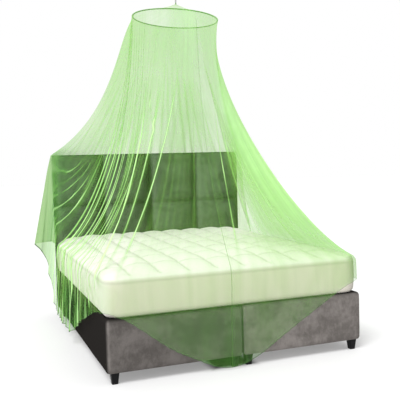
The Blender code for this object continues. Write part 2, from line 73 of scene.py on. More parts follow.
HOOP_CENTRE = Vector((-0.06, -0.05, 2.435))
HOOP_RADIUS = 0.325
HOOP_WIRE = 0.004
HOOP_TILT = math.radians(4.0)
HOOP_LOW_SIDE = math.radians(-20.0)
NET_OUTSIDE_HOOP = 0.0053
NET_ABOVE_HOOP = 0.005
CASING_CLEARANCE = 0.0024       # more room for the casing where the net falls inward
CAP_HEIGHT = 0.105
CAP_PROFILE_POWER = 1.4
CAP_NECK_RADIUS = 0.0056
CAP_NECK_HEIGHT = 0.012
CAP_NECK_STARTS = 0.92          # share of the cap's slope below its neck
CAP_OUTSIDE_WIRE = 0.0005
CAP_ABOVE_WIRE = 0.0006
CAP_SLOPE = 0.36
SEAM_TAPE_WIDTH = 0.022
SEAM_TAPE_OFF_NET = 0.0032
EDGE_SHARE = 0.66               # share of the net's length from the hoop to the bed's edge
SHOULDER_SHARE = 0.22           # share of the hanging part that rounds over the edge
FALL_LENGTH = 2.45
INSIDE_NET = BED + Vector((0.0, 0.0, 1.0))
BELOW_CAP = BED + HOOP_CENTRE - Vector((0.0, 0.0, 0.6))

# One row for each place round the bed where the fall of the net changes.  They are the
# solid's, but at headboard_left the hem is 4 cm higher and 12 mm nearer the bed.
# cloth      metres of net, measured along the hem, since the row before
# x, y, z    where the net turns over the edge that carries it
# ring_deg   where the same thread leaves the hoop
# drop       how far it falls nearly straight below the hoop, and
# spread     how far it moves outward over that fall
# pull       how far from the edge the net is drawn straight towards it, and
# rise_deg   the slope it has there
# hem_z      height of the hem
# shoulder   how far the net rounds out past the edge, just under it
# stand      how far the hem stands off that line, and
# sway       how far it swings round the bed
Station = namedtuple("Station", "place cloth x y z ring_deg drop spread pull rise_deg hem_z "
                                "shoulder stand sway", defaults=[0.0])

STATIONS = [Station(*row) for row in (
    ("front_seam", 0.00, -0.065, -1.050, 0.653, -81, 0.57, 0.05, 0.85, 48, 0.014, 0.020, 0.012, -0.022),
    ("front_right", 0.52, 0.42, -1.050, 0.653, -57, 0.55, -0.05, 0.75, 40, 0.262, 0.020, 0.008),
    ("corner_fr_front", 0.43, 0.80, -1.047, 0.653, -43, 0.42, -0.16, 0.46, 26, 0.470, 0.020, 0.004),
    ("corner_fr", 0.10, 0.866, -1.021, 0.653, -38, 0.40, -0.18, 0.46, 24, 0.490, 0.018, 0.003),
    ("corner_fr_side", 0.10, 0.888, -0.95, 0.653, -33, 0.42, -0.16, 0.46, 25, 0.480, 0.020, 0.004),
    ("right_front", 0.60, 0.889, -0.45, 0.653, -20, 0.46, -0.12, 0.55, 34, 0.20, 0.020, 0.020),
    ("right_mid", 0.65, 0.889, 0.10, 0.653, 2, 0.50, -0.04, 0.60, 46, 0.05, 0.020, 0.030),
    ("right_back", 0.75, 0.892, 0.68, 0.655, 24, 0.45, 0.00, 0.60, 46, 0.14, 0.020, 0.040),
    ("headboard_right", 0.42, 0.905, 0.90, 1.10, 36, 0.36, 0.03, 0.50, 38, 0.38, 0.010, 0.050),
    ("corner_br_front", 0.18, 0.896, 0.95, 1.430, 41, 0.26, 0.08, 0.60, 28, 0.54, 0.008, 0.045),
    ("corner_br", 0.16, 0.895, 1.064, 1.430, 45, 0.26, 0.08, 0.60, 26, 0.60, 0.008, 0.045),
    ("back_right", 0.62, 0.45, 1.064, 1.430, 68, 0.26, 0.10, 0.50, 38, 0.34, 0.012, 0.040),
    ("back_mid", 0.62, -0.06, 1.064, 1.430, 95, 0.26, 0.10, 0.45, 44, 0.18, 0.012, 0.045),
    ("back_left", 0.62, -0.50, 1.064, 1.430, 122, 0.26, 0.10, 0.50, 40, 0.32, 0.012, 0.050),
    ("corner_bl", 0.50, -0.895, 1.064, 1.430, 149, 0.12, 0.20, 1.00, 18.9, 0.635, 0.008, 0.165),
    ("corner_bl_front", 0.20, -0.896, 0.95, 1.430, 152, 0.16, 0.19, 0.90, 22, 0.600, 0.008, 0.120),
    ("headboard_left", 0.28, -0.905, 0.90, 1.10, 157, 0.30, 0.13, 0.62, 30, 0.46, 0.010, 0.058),
    ("left_back", 0.85, -0.892, 0.72, 0.660, 166, 0.46, 0.04, 0.66, 32, 0.13, 0.020, 0.030),
    ("left_mid", 1.70, -0.889, 0.10, 0.657, 190, 0.55, 0.03, 0.60, 38, 0.074, 0.020, 0.022),
    ("left_front", 1.30, -0.889, -0.53, 0.653, 222, 0.52, 0.06, 0.75, 42, 0.30, 0.020, 0.012),
    ("corner_fl_side", 0.60, -0.888, -0.95, 0.653, 240, 0.42, 0.13, 0.88, 43, 0.43, 0.020, 0.004),
    ("corner_fl", 0.10, -0.866, -1.021, 0.653, 248, 0.40, 0.13, 0.88, 44, 0.435, 0.018, 0.003),
    ("corner_fl_front", 0.12, -0.80, -1.047, 0.653, 256, 0.40, 0.09, 0.84, 45, 0.405, 0.020, 0.004),
    ("front_left", 0.55, -0.40, -1.050, 0.653, 269, 0.52, 0.05, 0.80, 49, 0.130, 0.020, 0.010),
)]
STATIONS.append(STATIONS[0]._replace(place="front_end", cloth=0.38, ring_deg=279))

# The main folds: their count between two places, their depth at the hoop, at the
# bed's edge and at the hem, and how far each is laid over sideways.
Pleats = namedtuple("Pleats", "start end count at_hoop at_edge at_hem lean")

PLEATS = [Pleats(*row) for row in (
    ("left_back", "left_front", 10, 0.004, 0.022, 0.044, 0.35),
    ("left_front", "corner_fl_side", 2, 0.005, 0.010, 0.016, 0.2),
    ("corner_fl_front", "front_end", 3, 0.010, 0.004, 0.008, 0.0),
    ("front_seam", "corner_fr_front", 3, 0.010, 0.004, 0.008, 0.0),
    ("right_front", "right_back", 4, 0.004, 0.010, 0.026, 0.2),
    ("right_back", "corner_br", 2, 0.004, 0.006, 0.026, 0.2),
    ("corner_br", "corner_bl", 7, 0.005, 0.010, 0.034, 0.2),
    ("corner_bl", "left_back", 3, 0.004, 0.008, 0.030, 0.3),
)]

# Where cloth is drawn together into a soft rope of folds.  The offset is along
# the hem from the place, width is the cloth it gathers, tight is how much of that
# it draws in, top and bottom are where it starts and ends down the net, drift is
# how far it wanders from hoop to hem, and ridge is how far it stands out.
Bunch = namedtuple("Bunch", "place offset width tight top bottom drift ridge")

BUNCHES = [Bunch(*row) for row in (
    ("left_back", 0.10, 0.54, 0.86, 0.20, 0.90, 0.20, 0.010),
    ("left_back", 0.62, 0.26, 0.84, 0.24, 0.90, 0.30, 0.007),
    ("left_back", 1.02, 0.22, 0.84, 0.24, 0.90, 0.20, 0.007),
    ("left_mid", -0.20, 0.22, 0.84, 0.22, 0.90, 0.30, 0.007),
    ("left_mid", 0.30, 0.22, 0.82, 0.20, 0.90, 0.40, 0.007),
    ("corner_fl_side", 0.08, 0.12, 0.72, 0.12, 0.74, 0.00, 0.005),
    ("left_front", 0.27, 0.38, 0.84, 0.14, 0.80, 1.20, 0.009),
    ("corner_fl_front", 0.02, 0.14, 0.86, 0.08, 0.70, -0.43, 0.006),
    ("corner_fl_front", 0.32, 0.08, 0.80, 0.06, 0.44, 2.97, 0.004),
    ("front_seam", 0.164, 0.08, 0.86, 0.20, 0.70, -0.60, 0.003),
    ("front_seam", 0.330, 0.05, 0.80, 0.26, 0.66, -0.40, 0.002),
    ("front_left", 0.10, 0.05, 0.60, 0.10, 0.50, 0.05, 0.003),
    ("headboard_left", 0.06, 0.070, 0.86, 0.34, 0.71, -1.34, 0.003),
    ("headboard_left", 0.13, 0.060, 0.86, 0.34, 0.67, -1.23, 0.003),
    ("headboard_left", 0.22, 0.060, 0.86, 0.34, 0.71, -1.10, 0.003),
    ("headboard_left", 0.33, 0.080, 0.86, 0.34, 0.75, -0.90, 0.003),
    ("headboard_left", 0.47, 0.080, 0.86, 0.34, 0.75, -0.60, 0.003),
)]

# Smaller bunches scattered between two places: how many, and the range of their
# width and tightness.
Scatter = namedtuple("Scatter", "start end count narrow wide loose tight ridge")

SCATTERS = [Scatter(*row) for row in (
    ("left_back", "corner_fl_side", 24, 0.04, 0.12, 0.50, 0.84, 0.005),
    ("corner_fl_front", "front_end", 12, 0.02, 0.06, 0.20, 0.50, 0.002),
    ("front_seam", "corner_fr_front", 9, 0.02, 0.06, 0.20, 0.45, 0.002),
    ("right_front", "corner_br", 14, 0.03, 0.08, 0.30, 0.60, 0.004),
    ("corner_br", "corner_bl", 22, 0.03, 0.09, 0.35, 0.70, 0.005),
    ("corner_bl", "left_back", 10, 0.02, 0.06, 0.30, 0.55, 0.002),
)]


# --- small helpers ------------------------------------------------------------------

def bed_to_frame(places):
    return np.asarray(places, float) + np.array(BED)


def ramp(value, start, end):
    """0 up to start, 1 from end on, and straight between."""
    return np.clip((value - start) / (end - start), 0, 1)


def eased(share):
    """A share from 0 to 1 that starts and ends gently."""
    return share * share * (3 - 2 * share)


def smooth_through(at, values, where):
    """A curve through the values that never overshoots between them."""
    at = np.asarray(at, float)
    values = np.asarray(values, float)
    steps = np.diff(at)
    slopes = np.diff(values) / steps
    tangents = np.zeros_like(values)
    for i in range(1, len(slopes)):
        before, after = slopes[i - 1], slopes[i]
        if before * after > 0:
            heavy = 2 * steps[i] + steps[i - 1]
            light = steps[i] + 2 * steps[i - 1]
            tangents[i] = (heavy + light) / (heavy / before + light / after)
    ends = slopes[0] * slopes[-1]
    tangents[0] = tangents[-1] = 0.0 if ends <= 0 else 2 * ends / (slopes[0] + slopes[-1])
    left = np.clip(np.searchsorted(at, where, side="right") - 1, 0, len(steps) - 1)
    t = (where - at[left]) / steps[left]
    return ((2 * t**3 - 3 * t**2 + 1) * values[left]
            + (t**3 - 2 * t**2 + t) * steps[left] * tangents[left]
            + (3 * t**2 - 2 * t**3) * values[left + 1]
            + (t**3 - t**2) * steps[left] * tangents[left + 1])


def wander(across, down, seed, turns, bands):
    """Smooth noise from -1 to 1 that repeats once round the net."""
    table = np.random.default_rng(seed).uniform(-1, 1, (bands + 1, turns))
    x = (across % 1.0) * turns
    y = np.clip(down, 0, 0.9999) * bands
    left, low = np.floor(x).astype(int), np.floor(y).astype(int)
    fx, fy = eased(x - left), eased(y - low)
    near, far = left % turns, (left + 1) % turns
    top = table[low, near] * (1 - fx) + table[low, far] * fx
    bottom = table[low + 1, near] * (1 - fx) + table[low + 1, far] * fx
    return top * (1 - fy) + bottom * fy


def linked(name, data):
    """A new object of a mesh, a lamp or a camera, in the scene."""
    made = bpy.data.objects.new(name, data)
    bpy.context.scene.collection.objects.link(made)
    return made


def finished(name, mesh, finish, replaced=(), smooth_angle=None):
    """Link a mesh as a piece that rides on the one body."""
    piece = linked(name, mesh)
    mesh.materials.append(finish)
    mesh.shade_smooth()
    if smooth_angle is not None:
        mesh.set_sharp_from_angle(angle=math.radians(smooth_angle))
    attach(piece, "root")
    if replaced:
        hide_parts(*replaced)
    return piece


def into_mesh(shape, mesh):
    shape.to_mesh(mesh)
    shape.free()
    return mesh


def mesh_from(shape, name):
    return into_mesh(shape, bpy.data.meshes.new(name))


def keep_measure(mesh, label, values):
    """Keep a number on each point, for the finish to read."""
    kept = mesh.attributes.new(label, "FLOAT", "POINT")
    kept.data.foreach_set("value", np.ascontiguousarray(values, dtype=float))


def refinish(node, finish):
    """Give a CAD node that keeps its own shape a detailed finish."""
    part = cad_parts[node]
    part.data.materials.clear()
    part.data.materials.append(finish)


# --- finishes -----------------------------------------------------------------------

class Field:
    """A shader value that Python's own signs work on."""

    def __init__(self, finish, socket):
        self.finish = finish
        self.socket = socket

    def __add__(self, other):
        return self.finish.maths("ADD", self, other)

    def __sub__(self, other):
        return self.finish.maths("SUBTRACT", self, other)

    def __mul__(self, other):
        return self.finish.maths("MULTIPLY", self, other)

    def __truediv__(self, other):
        return self.finish.maths("DIVIDE", self, other)

    def __rsub__(self, other):
        return self.finish.maths("SUBTRACT", other, self)

    def __rpow__(self, other):
        return self.finish.maths("POWER", other, self)

    __radd__ = __add__
    __rmul__ = __mul__


class Finish:
    """A material with one Principled shader, and the nodes that feed it."""

    def __init__(self, name, **fixed):
        self.material = bpy.data.materials.new(name)
        self.material.use_nodes = True
        self.tree = self.material.node_tree
        self.shader = self.tree.nodes["Principled BSDF"]
        self.output = self.tree.nodes["Material Output"]
        for socket, value in fixed.items():
            self.shader.inputs[socket.replace("_", " ")].default_value = value

    def node(self, kind, settings=None, sockets=None, output=0):
        """Any node: its settings first, then the values or links of its sockets."""
        made = self.tree.nodes.new("ShaderNode" + kind)
        for name, value in (settings or {}).items():
            setattr(made, name, value)
        for name, value in (sockets or {}).items():
            self.feed(made.inputs[name], value)
        return Field(self, made.outputs[output])

    def feed(self, socket, value):
        if isinstance(value, Field):
            self.tree.links.new(value.socket, socket)
        elif socket.type == "RGBA":
            socket.default_value = (*value[:3], 1.0)
        else:
            socket.default_value = value

    def set(self, **sockets):
        """Feed the shader's own sockets."""
        for name, value in sockets.items():
            self.feed(self.shader.inputs[name.replace("_", " ")], value)

    def maths(self, operation, *values):
        return self.node("Math", {"operation": operation}, dict(enumerate(values)))

    def clamp(self, value, low=0.0, high=1.0):
        return self.node("Clamp", None, {"Value": value, "Min": low, "Max": high})

    def remap(self, value, low, high, to_low=0.0, to_high=1.0):
        return self.node("MapRange", {"interpolation_type": "SMOOTHSTEP"},
                         {"Value": value, "From Min": low, "From Max": high,
                          "To Min": to_low, "To Max": to_high})

    def mix(self, share, first, second):
        """A mix of two colours."""
        return self.node("Mix", {"data_type": "RGBA"}, {0: share, 6: first, 7: second}, 2)

    def place(self):
        """Object coordinates."""
        return self.node("TexCoord", output=3)

    def part(self, vector, axis):
        """One number of a vector: axis is 0, 1 or 2 for x, y or z."""
        return self.node("SeparateXYZ", None, {"Vector": vector}, axis)

    def cloth(self):
        """The piece's own map, in metres across and along its cloth."""
        return self.node("UVMap", {"uv_map": "Cloth"})

    def measure(self, name):
        """A number kept on the piece's own points."""
        return self.node("Attribute", {"attribute_name": name}, output=2)

    def scaled(self, vector, scale, turn=(0.0, 0.0, 0.0)):
        return self.node("Mapping", None, {"Vector": vector, "Scale": scale, "Rotation": turn})

    def noise(self, vector, scale, detail, roughness):
        return self.node("TexNoise", None, {"Vector": vector, "Scale": scale,
                                            "Detail": detail, "Roughness": roughness})

    def stretched(self, vector, scale, detail, roughness):
        """Noise with a scale of its own along each axis."""
        return self.noise(self.scaled(vector, scale), 1.0, detail, roughness)

    def wave(self, vector, scale, distortion, direction):
        return self.node("TexWave", {"bands_direction": direction},
                         {"Vector": vector, "Scale": scale, "Distortion": distortion}, 1)

    def raise_by(self, height, strength, distance):
        """Relief from a height, as the shader's normal."""
        self.set(Normal=self.node("Bump", None, {"Height": height, "Strength": strength,
                                                 "Distance": distance}))

    def see_through(self, cover, glow, lit_through):
        """Sheer cloth: cover is the share the threads fill, glow their colour lit from behind,
        and lit_through how much of what they show comes from behind."""
        nodes, links = self.tree.nodes, self.tree.links
        behind = nodes.new("ShaderNodeBsdfTranslucent")
        behind.inputs["Color"].default_value = (*glow, 1.0)
        threads = nodes.new("ShaderNodeMixShader")
        self.feed(threads.inputs[0], lit_through)
        links.new(self.shader.outputs[0], threads.inputs[1])
        links.new(behind.outputs[0], threads.inputs[2])
        holes = nodes.new("ShaderNodeBsdfTransparent")
        cloth = nodes.new("ShaderNodeMixShader")
        links.new(cover.socket, cloth.inputs[0])
        links.new(holes.outputs[0], cloth.inputs[1])
        links.new(threads.outputs[0], cloth.inputs[2])
        links.new(cloth.outputs[0], self.output.inputs["Surface"])


def net_finish(name, settings):
    """Sheer knitted net: denser where it is gathered, streaked along its fall."""
    finish = Finish(name, Roughness=0.8, Specular_IOR_Level=0.1)
    cloth = finish.cloth()
    broad = finish.stretched(cloth, (9.0, 0.7, 1.0), 2.0, 0.5)
    fine = finish.stretched(cloth, (60.0, 1.4, 1.0), 3.0, 0.6)
    down = finish.part(cloth, 1)
    hem = finish.remap(down, FALL_LENGTH - 0.012, FALL_LENGTH - 0.008)
    layers = finish.measure("layers")
    shaded = finish.measure("in_shade")
    streaky = finish.remap(down, 0.2, 1.5, 0.05, 1.0)
    hanging = finish.stretched(finish.place(), (16.0, 16.0, 0.9), 3.0, 0.55)
    uneven = (1.0 + streaky * (0.5 * (broad - 0.5) + 0.35 * (fine - 0.5))
              + (1.0 - streaky) * 0.8 * (hanging - 0.5))
    clear = (1.0 - settings.cover) ** (layers * uneven)
    cover = finish.clamp(1.0 - clear + 0.45 * hem, 0.0, 0.97)
    dense = finish.remap(cover, 0.38, 0.82)
    tone = finish.mix(dense, settings.thin_colour, settings.thick_colour)
    # Painted shade: where in_shade is 1 the net's colour is darkened towards the hem colour, and less
    # of it is lit through.
    tone = finish.mix(0.50 * shaded, tone, settings.hem_and_shade_colour)
    tone = finish.mix(0.90 * hem, tone, settings.hem_and_shade_colour)
    finish.set(Base_Color=tone)
    finish.raise_by((fine + 0.6 * broad) * streaky, 0.2, 0.003)
    lit_through = (0.68 - 0.56 * dense) * (1.0 - 0.6 * shaded) * (1.0 - hem)
    finish.see_through(cover, settings.glow_colour, lit_through)
    return finish.material


def tape_finish(settings):
    """Doubled net, its turned edge darker down one side, with a row of stitches."""
    finish = Finish("seam_tape_net", Roughness=0.8, Specular_IOR_Level=0.1)
    cloth = finish.cloth()
    across = finish.part(cloth, 0)
    turned_edge = finish.remap(across, -0.0068, -0.0080)
    fine = finish.stretched(cloth, (200.0, 60.0, 1.0), 2.0, 0.5)
    stitch = finish.wave(cloth, 70.0, 0.0, "Y")
    tone = finish.mix(0.3 * fine, settings.thin_colour, settings.thick_colour)
    edge_tone = finish.mix(0.75, settings.thin_colour, settings.hem_and_shade_colour)
    finish.set(Base_Color=finish.mix(turned_edge, tone, edge_tone))
    finish.raise_by(fine + stitch * turned_edge, 0.4, 0.001)
    cover = finish.clamp(0.01 + 0.60 * turned_edge + 0.04 * fine, 0.0, 0.95)
    finish.see_through(cover, settings.glow_colour, 0.35)
    return finish.material


def velvet_finish(name, light, dark, grain_scale):
    """Short-pile velvet: nap brushed both ways in soft patches, a fine pile grain.

    Where the kept measure is 1 a painted shade makes the velvet nearly black; where it is negative a
    painted highlight makes it paler.
    """
    finish = Finish(name, Roughness=0.9, Specular_IOR_Level=0.0)
    place = finish.place()
    patches = finish.noise(finish.scaled(place, (1.0, 1.0, 1.6)), 5.0, 4.0, 0.6)
    brushed = finish.noise(finish.scaled(place, (1.0, 1.0, 0.6)), 34.0, 5.0, 0.7)
    grain = finish.noise(place, grain_scale, 2.0, 0.6)
    nap = finish.clamp(finish.remap(0.6 * patches + 0.4 * brushed, 0.36, 0.66)
                       + 0.9 * (grain - 0.5))
    brushed_tone = finish.mix(nap, dark, light)
    darkening = finish.measure("painted_shade_and_highlight")
    # away is the painted shade colour, towards the painted highlight colour.
    away = [0.16 * c for c in dark]
    towards = [1.8 * c for c in light]
    tone = finish.mix(finish.clamp(darkening), brushed_tone, away)
    finish.set(Base_Color=finish.mix(finish.clamp(-1.0 * darkening), tone, towards),
               Roughness=0.75 + 0.2 * nap)
    finish.raise_by(brushed + 0.7 * grain, 0.25, 0.002)
    return finish.material


def mattress_finish(settings):
    """White quilted top of fine knit, and smooth cream stretch sides; painted shade along the
    stitching, under the rim and round the far corner, and painted light on the left side.
    """
    finish = Finish("mattress_knit", Roughness=0.85, Sheen_Weight=0.1, Sheen_Roughness=0.5,
                    Specular_IOR_Level=0.2)
    place = finish.place()
    top = finish.measure("top_panel_and_painted_light")
    x = finish.part(place, 0)
    y = finish.part(place, 1)
    puckers = finish.noise(place, 24.0, 2.0, 0.6)

    def stitched(count, strength):
        """Painted shade along a row of stitching, where the count of rows passes a whole number."""
        apart = finish.maths("ABSOLUTE", finish.maths("FRACT", count + 0.5) - 0.5)
        return finish.remap(apart + 0.06 * puckers, 0.110, 0.030) * strength

    lines = finish.maths("MAXIMUM", stitched(quilt_count_along(x, y, settings), 0.9),
                         stitched(quilt_count_across(x, y, settings), 0.6))
    knit = finish.wave(place, 55.0, 1.5, "DIAGONAL")
    mottle = finish.noise(place, 9.0, 3.0, 0.55)
    fine = finish.noise(place, 160.0, 2.0, 0.5)
    side = finish.mix(0.5 * mottle, settings.side_colour, settings.side_shade)
    # The top panel darkens along the stitch rows: painted shade in the quilting's hollows.
    panel = finish.mix(lines * finish.measure("quilted") * 0.72 + 0.12 * fine,
                       settings.top_colour, settings.top_shade)
    # rim carries the seam line with its painted shade under the rolled edge, and the painted shade
    # round the far corner.
    rim = finish.measure("rim_seam_and_painted_shade")
    tone = finish.mix(top, side, panel)
    finish.set(Base_Color=finish.mix(rim, tone, settings.rim_shade),
               Roughness=0.8 + 0.15 * fine)
    finish.raise_by(0.4 * knit + fine + 0.5 * mottle, 0.18, 0.0015)
    return finish.material


def casing_finish(settings):
    """Net sewn round the hoop: dark where the hoop shows through, ribbed by its gathers."""
    finish = Finish("hoop_casing", Roughness=0.7, Sheen_Weight=0.2)
    cloth = finish.cloth()
    ribs = finish.stretched(cloth, (260.0, 20.0, 1.0), 2.0, 0.6)
    patches = finish.stretched(cloth, (9.0, 1.0, 1.0), 2.0, 0.5)
    share = finish.remap(0.5 * ribs + 0.5 * patches, 0.35, 0.7)
    finish.set(Base_Color=finish.mix(share, settings.hoop_colour,
                                     settings.casing_colour),
               Roughness=0.6 + 0.3 * ribs)
    finish.raise_by(ribs, 0.5, 0.001)
    return finish.material


def cord_finish():
    """Grey twisted cord."""
    finish = Finish("twisted_cord", Roughness=0.8, Sheen_Weight=0.2)
    place = finish.place()
    twist = finish.wave(finish.scaled(place, (1.0, 1.0, 1.6), (0.6, 0.5, 0.0)), 120.0, 0.4, "Z")
    fuzz = finish.noise(place, 700.0, 2.0, 0.6)
    share = finish.clamp(0.7 * twist + 0.3 * fuzz)
    finish.set(Base_Color=finish.mix(share, (0.10, 0.11, 0.10), (0.34, 0.36, 0.34)))
    finish.raise_by(twist + 0.4 * fuzz, 0.6, 0.0006)
    return finish.material


def steel_finish():
    """Plated wire and plate, drawn along, with a little tarnish."""
    finish = Finish("plated_steel", Metallic=1.0, Specular_IOR_Level=0.5)
    place = finish.place()
    drawn = finish.stretched(place, (900.0, 900.0, 40.0), 2.0, 0.6)
    tarnish = finish.noise(place, 60.0, 3.0, 0.6)
    spots = finish.remap(tarnish, 0.55, 0.75)
    finish.set(Base_Color=finish.mix(spots, (0.56, 0.57, 0.58), (0.33, 0.31, 0.28)),
               Roughness=0.22 + 0.12 * drawn + 0.25 * spots)
    finish.raise_by(drawn, 0.1, 0.0003)
    return finish.material


def lacquer_finish():
    """Black lacquered wood with faint grain, rubbed dull near the floor."""
    finish = Finish("black_lacquer", Coat_Weight=0.04, Coat_Roughness=0.25,
                    Specular_IOR_Level=0.1)
    place = finish.place()
    grain = finish.stretched(place, (90.0, 90.0, 9.0), 4.0, 0.6)
    height = finish.part(place, 2)
    scuffed = finish.remap(height + 0.012 * grain, 0.022, 0.008) * finish.remap(grain, 0.45, 0.7)
    finish.set(Base_Color=finish.mix(scuffed, (0.006, 0.006, 0.007), (0.05, 0.045, 0.04)),
               Roughness=0.28 + 0.2 * grain + 0.3 * scuffed)
    finish.raise_by(grain, 0.15, 0.0005)
    return finish.material


def floor_finish(settings):
    """A matt pale studio floor, with a painted shadow between the middle feet."""
    finish = Finish("studio_floor", Roughness=0.9, Specular_IOR_Level=0.1,
                    Emission_Strength=settings.floor_glow)
    place = finish.place()
    mottle = finish.noise(place, 0.8, 3.0, 0.5)
    outside = -0.02
    for axis, middle, half in ((0, BED.x - 0.05, 0.11), (1, BED.y - 0.78, 0.21)):
        apart = finish.part(place, axis) - middle
        beyond = finish.maths("ABSOLUTE", apart) - half
        outside = finish.maths("MAXIMUM", outside, beyond)
    # Painted shadow: between the middle feet the floor turns dark and its glow is off.
    lit = finish.remap(outside, -0.01, 0.08)
    pale = settings.floor_colour
    tone = finish.mix(mottle, [0.98 * c for c in pale], pale)
    finish.set(Base_Color=finish.mix(lit, (0.08, 0.08, 0.08), tone),
               Emission_Color=finish.mix(lit, (0.0, 0.0, 0.0), (1.0, 1.0, 1.0)))
    return finish.material


# --- how the net hangs ------------------------------------------------------------------

def station_shares():
    cloth = np.cumsum([station.cloth for station in STATIONS])
    return cloth / cloth[-1]


SHARES = station_shares()
HEM_LENGTH = sum(station.cloth for station in STATIONS)
PLACES = dict(zip([station.place for station in STATIONS], SHARES))


def along(name, u):
    """One column of the station table, read at u round the net."""
    return smooth_through(SHARES, [getattr(row, name) for row in STATIONS], u)


def hoop_matrix():
    axis = Vector((-math.sin(HOOP_LOW_SIDE), math.cos(HOOP_LOW_SIDE), 0.0))
    return Matrix.Translation(HOOP_CENTRE) @ Matrix.Rotation(HOOP_TILT, 4, axis)


def hoop_points(angle, radius, height):
    """Points at an angle round the hoop, a radius from its middle and a height over its plane."""
    turned = np.array(hoop_matrix())
    local = np.stack(np.broadcast_arrays(radius * np.cos(angle), radius * np.sin(angle), height),
                     axis=-1)
    return local @ turned[:3, :3].T + turned[:3, 3]


def level_directions(u):
    """Straight away from the bed, and round it, at the outline the net hangs over."""
    step = 2e-3
    before, after = (u - step) % 1.0, (u + step) % 1.0
    run = np.stack([along(name, after) - along(name, before) for name in "xy"]
                   + [np.zeros_like(u)], axis=-1)
    run /= np.linalg.norm(run, axis=-1, keepdims=True)
    straight_out = np.stack([run[..., 1], -run[..., 0], run[..., 2]], axis=-1)
    return straight_out, run


def plain_net(u, v):
    """The net without folds: v is 0 at the hoop, EDGE_SHARE at the edge, 1 at the hem."""
    up = np.array([0.0, 0.0, 1.0])
    top = hoop_points(np.radians(along("ring_deg", u)), HOOP_RADIUS + NET_OUTSIDE_HOOP,
                      NET_ABOVE_HOOP)
    edge = np.stack([along(name, u) for name in "xyz"], axis=-1)
    away = (edge - top) * (1.0, 1.0, 0.0)
    away /= np.linalg.norm(away, axis=-1, keepdims=True)
    rise = np.radians(along("rise_deg", u))[..., None]
    below_top = top - up * along("drop", u)[..., None] + away * along("spread", u)[..., None]
    above_edge = edge + along("pull", u)[..., None] * (up * np.sin(rise) - away * np.cos(rise))
    t = ramp(v, 0, EDGE_SHARE)[..., None]
    falling = ((1 - t)**3 * top + 3 * (1 - t)**2 * t * below_top
               + 3 * (1 - t) * t**2 * above_edge + t**3 * edge)
    w = ramp(v, EDGE_SHARE, 1)[..., None]
    rounding = np.sin(ramp(w, 0, SHOULDER_SHARE) * math.pi / 2)
    straight_out, run = level_directions(u)
    hanging = edge + run * along("sway", u)[..., None] * w + straight_out * (
        along("shoulder", u)[..., None] * rounding + along("stand", u)[..., None] * w)
    hanging[..., 2:] += (along("hem_z", u)[..., None] - edge[..., 2:]) * w
    return np.where(w > 0, hanging, falling)


def main_folds(u, v):
    """How far the main folds stand out, and how far they lean sideways."""
    out = np.zeros_like(u * v)
    sideways = np.zeros_like(u * v)
    for group in PLEATS:
        start, end = PLACES[group.start], PLACES[group.end]
        inside = (u > start) & (u < end)
        share = ramp(u, start, end)
        turns = fold_turns(group, share)
        uneven_depth = 0.78 + 0.22 * np.sin(5.1 * turns / 2 + group.count)
        depth = np.interp(v, [0.0, 0.10, EDGE_SHARE, 1.0],
                          [0.0, group.at_hoop, group.at_edge, group.at_hem])
        wave = (1 - np.cos(math.tau * turns)) / 2
        out += np.where(inside, depth * uneven_depth * wave, 0.0)
        sideways += np.where(inside, depth * group.lean * np.sin(math.tau * turns) / 2, 0.0)
    return out, sideways


def by_place(u, **marks):
    """A curve round the net through a number at each named place.

    It ends on the number it starts with, unless front_end is given its own.
    """
    marks.setdefault("front_end", marks["front_seam"])
    return smooth_through([PLACES[place] for place in marks], list(marks.values()), u)


def looseness(u):
    """0 where the net is drawn tight over the bed, 1 where it hangs in deep folds."""
    return by_place(u, front_seam=0.25, front_right=0.15, corner_fr_front=0.05,
                    corner_fr_side=0.05, right_front=0.2, right_mid=0.45, right_back=0.35,
                    corner_br=0.15, back_mid=0.6, corner_bl=0.15, headboard_left=0.2,
                    left_back=0.8, left_mid=1.0, left_front=0.9, corner_fl_side=0.55,
                    corner_fl_front=0.35, front_left=0.25)


def fold_turns(group, share):
    """How many main folds have passed at a share of the way across their group."""
    uneven_step = share * (1 - share) * 0.30 * np.sin(9.0 * share + group.count)
    return group.count * (share + uneven_step)


def all_bunches():
    """A bunch on each main fold of the left side, then the scattered and the listed ones.

    Each row holds the same numbers as Bunch has from its place on, with lengths of
    cloth given as shares of the hem.
    """
    rows = []
    chance = np.random.default_rng(23)
    group = PLEATS[0]
    start, end = PLACES[group.start], PLACES[group.end]
    shares = np.linspace(0, 1, 2001)
    turns = np.maximum.accumulate(fold_turns(group, shares))
    for k in range(group.count):
        at = start + (end - start) * np.interp(k + 0.5, turns, shares)
        rows.append((at, chance.uniform(0.14, 0.22) / HEM_LENGTH, chance.uniform(0.78, 0.90),
                     chance.choice([0.20, 0.24, 0.28, 0.34]), 1.4,
                     chance.uniform(-0.2, 0.1) / HEM_LENGTH, 0.004))
    for group in SCATTERS:
        start, end = PLACES[group.start], PLACES[group.end]
        for k in range(group.count):
            at = start + (end - start) * (k + chance.uniform(0.1, 0.9)) / group.count
            top = chance.choice([0.01, 0.06, 0.15, 0.28])
            # The faint ones end at the bed's edge, the others may reach the hem.
            bottom = chance.uniform(0.60, 1.25) if group.ridge > 0.003 else EDGE_SHARE
            rows.append((at, chance.uniform(group.narrow, group.wide) / HEM_LENGTH,
                         chance.uniform(group.loose, group.tight), top, bottom,
                         chance.uniform(-0.12, 0.12) / HEM_LENGTH, group.ridge))
    rows += [(PLACES[b.place] + b.offset / HEM_LENGTH, b.width / HEM_LENGTH, b.tight, b.top,
              b.bottom, b.drift / HEM_LENGTH, b.ridge) for b in BUNCHES]
    return rows


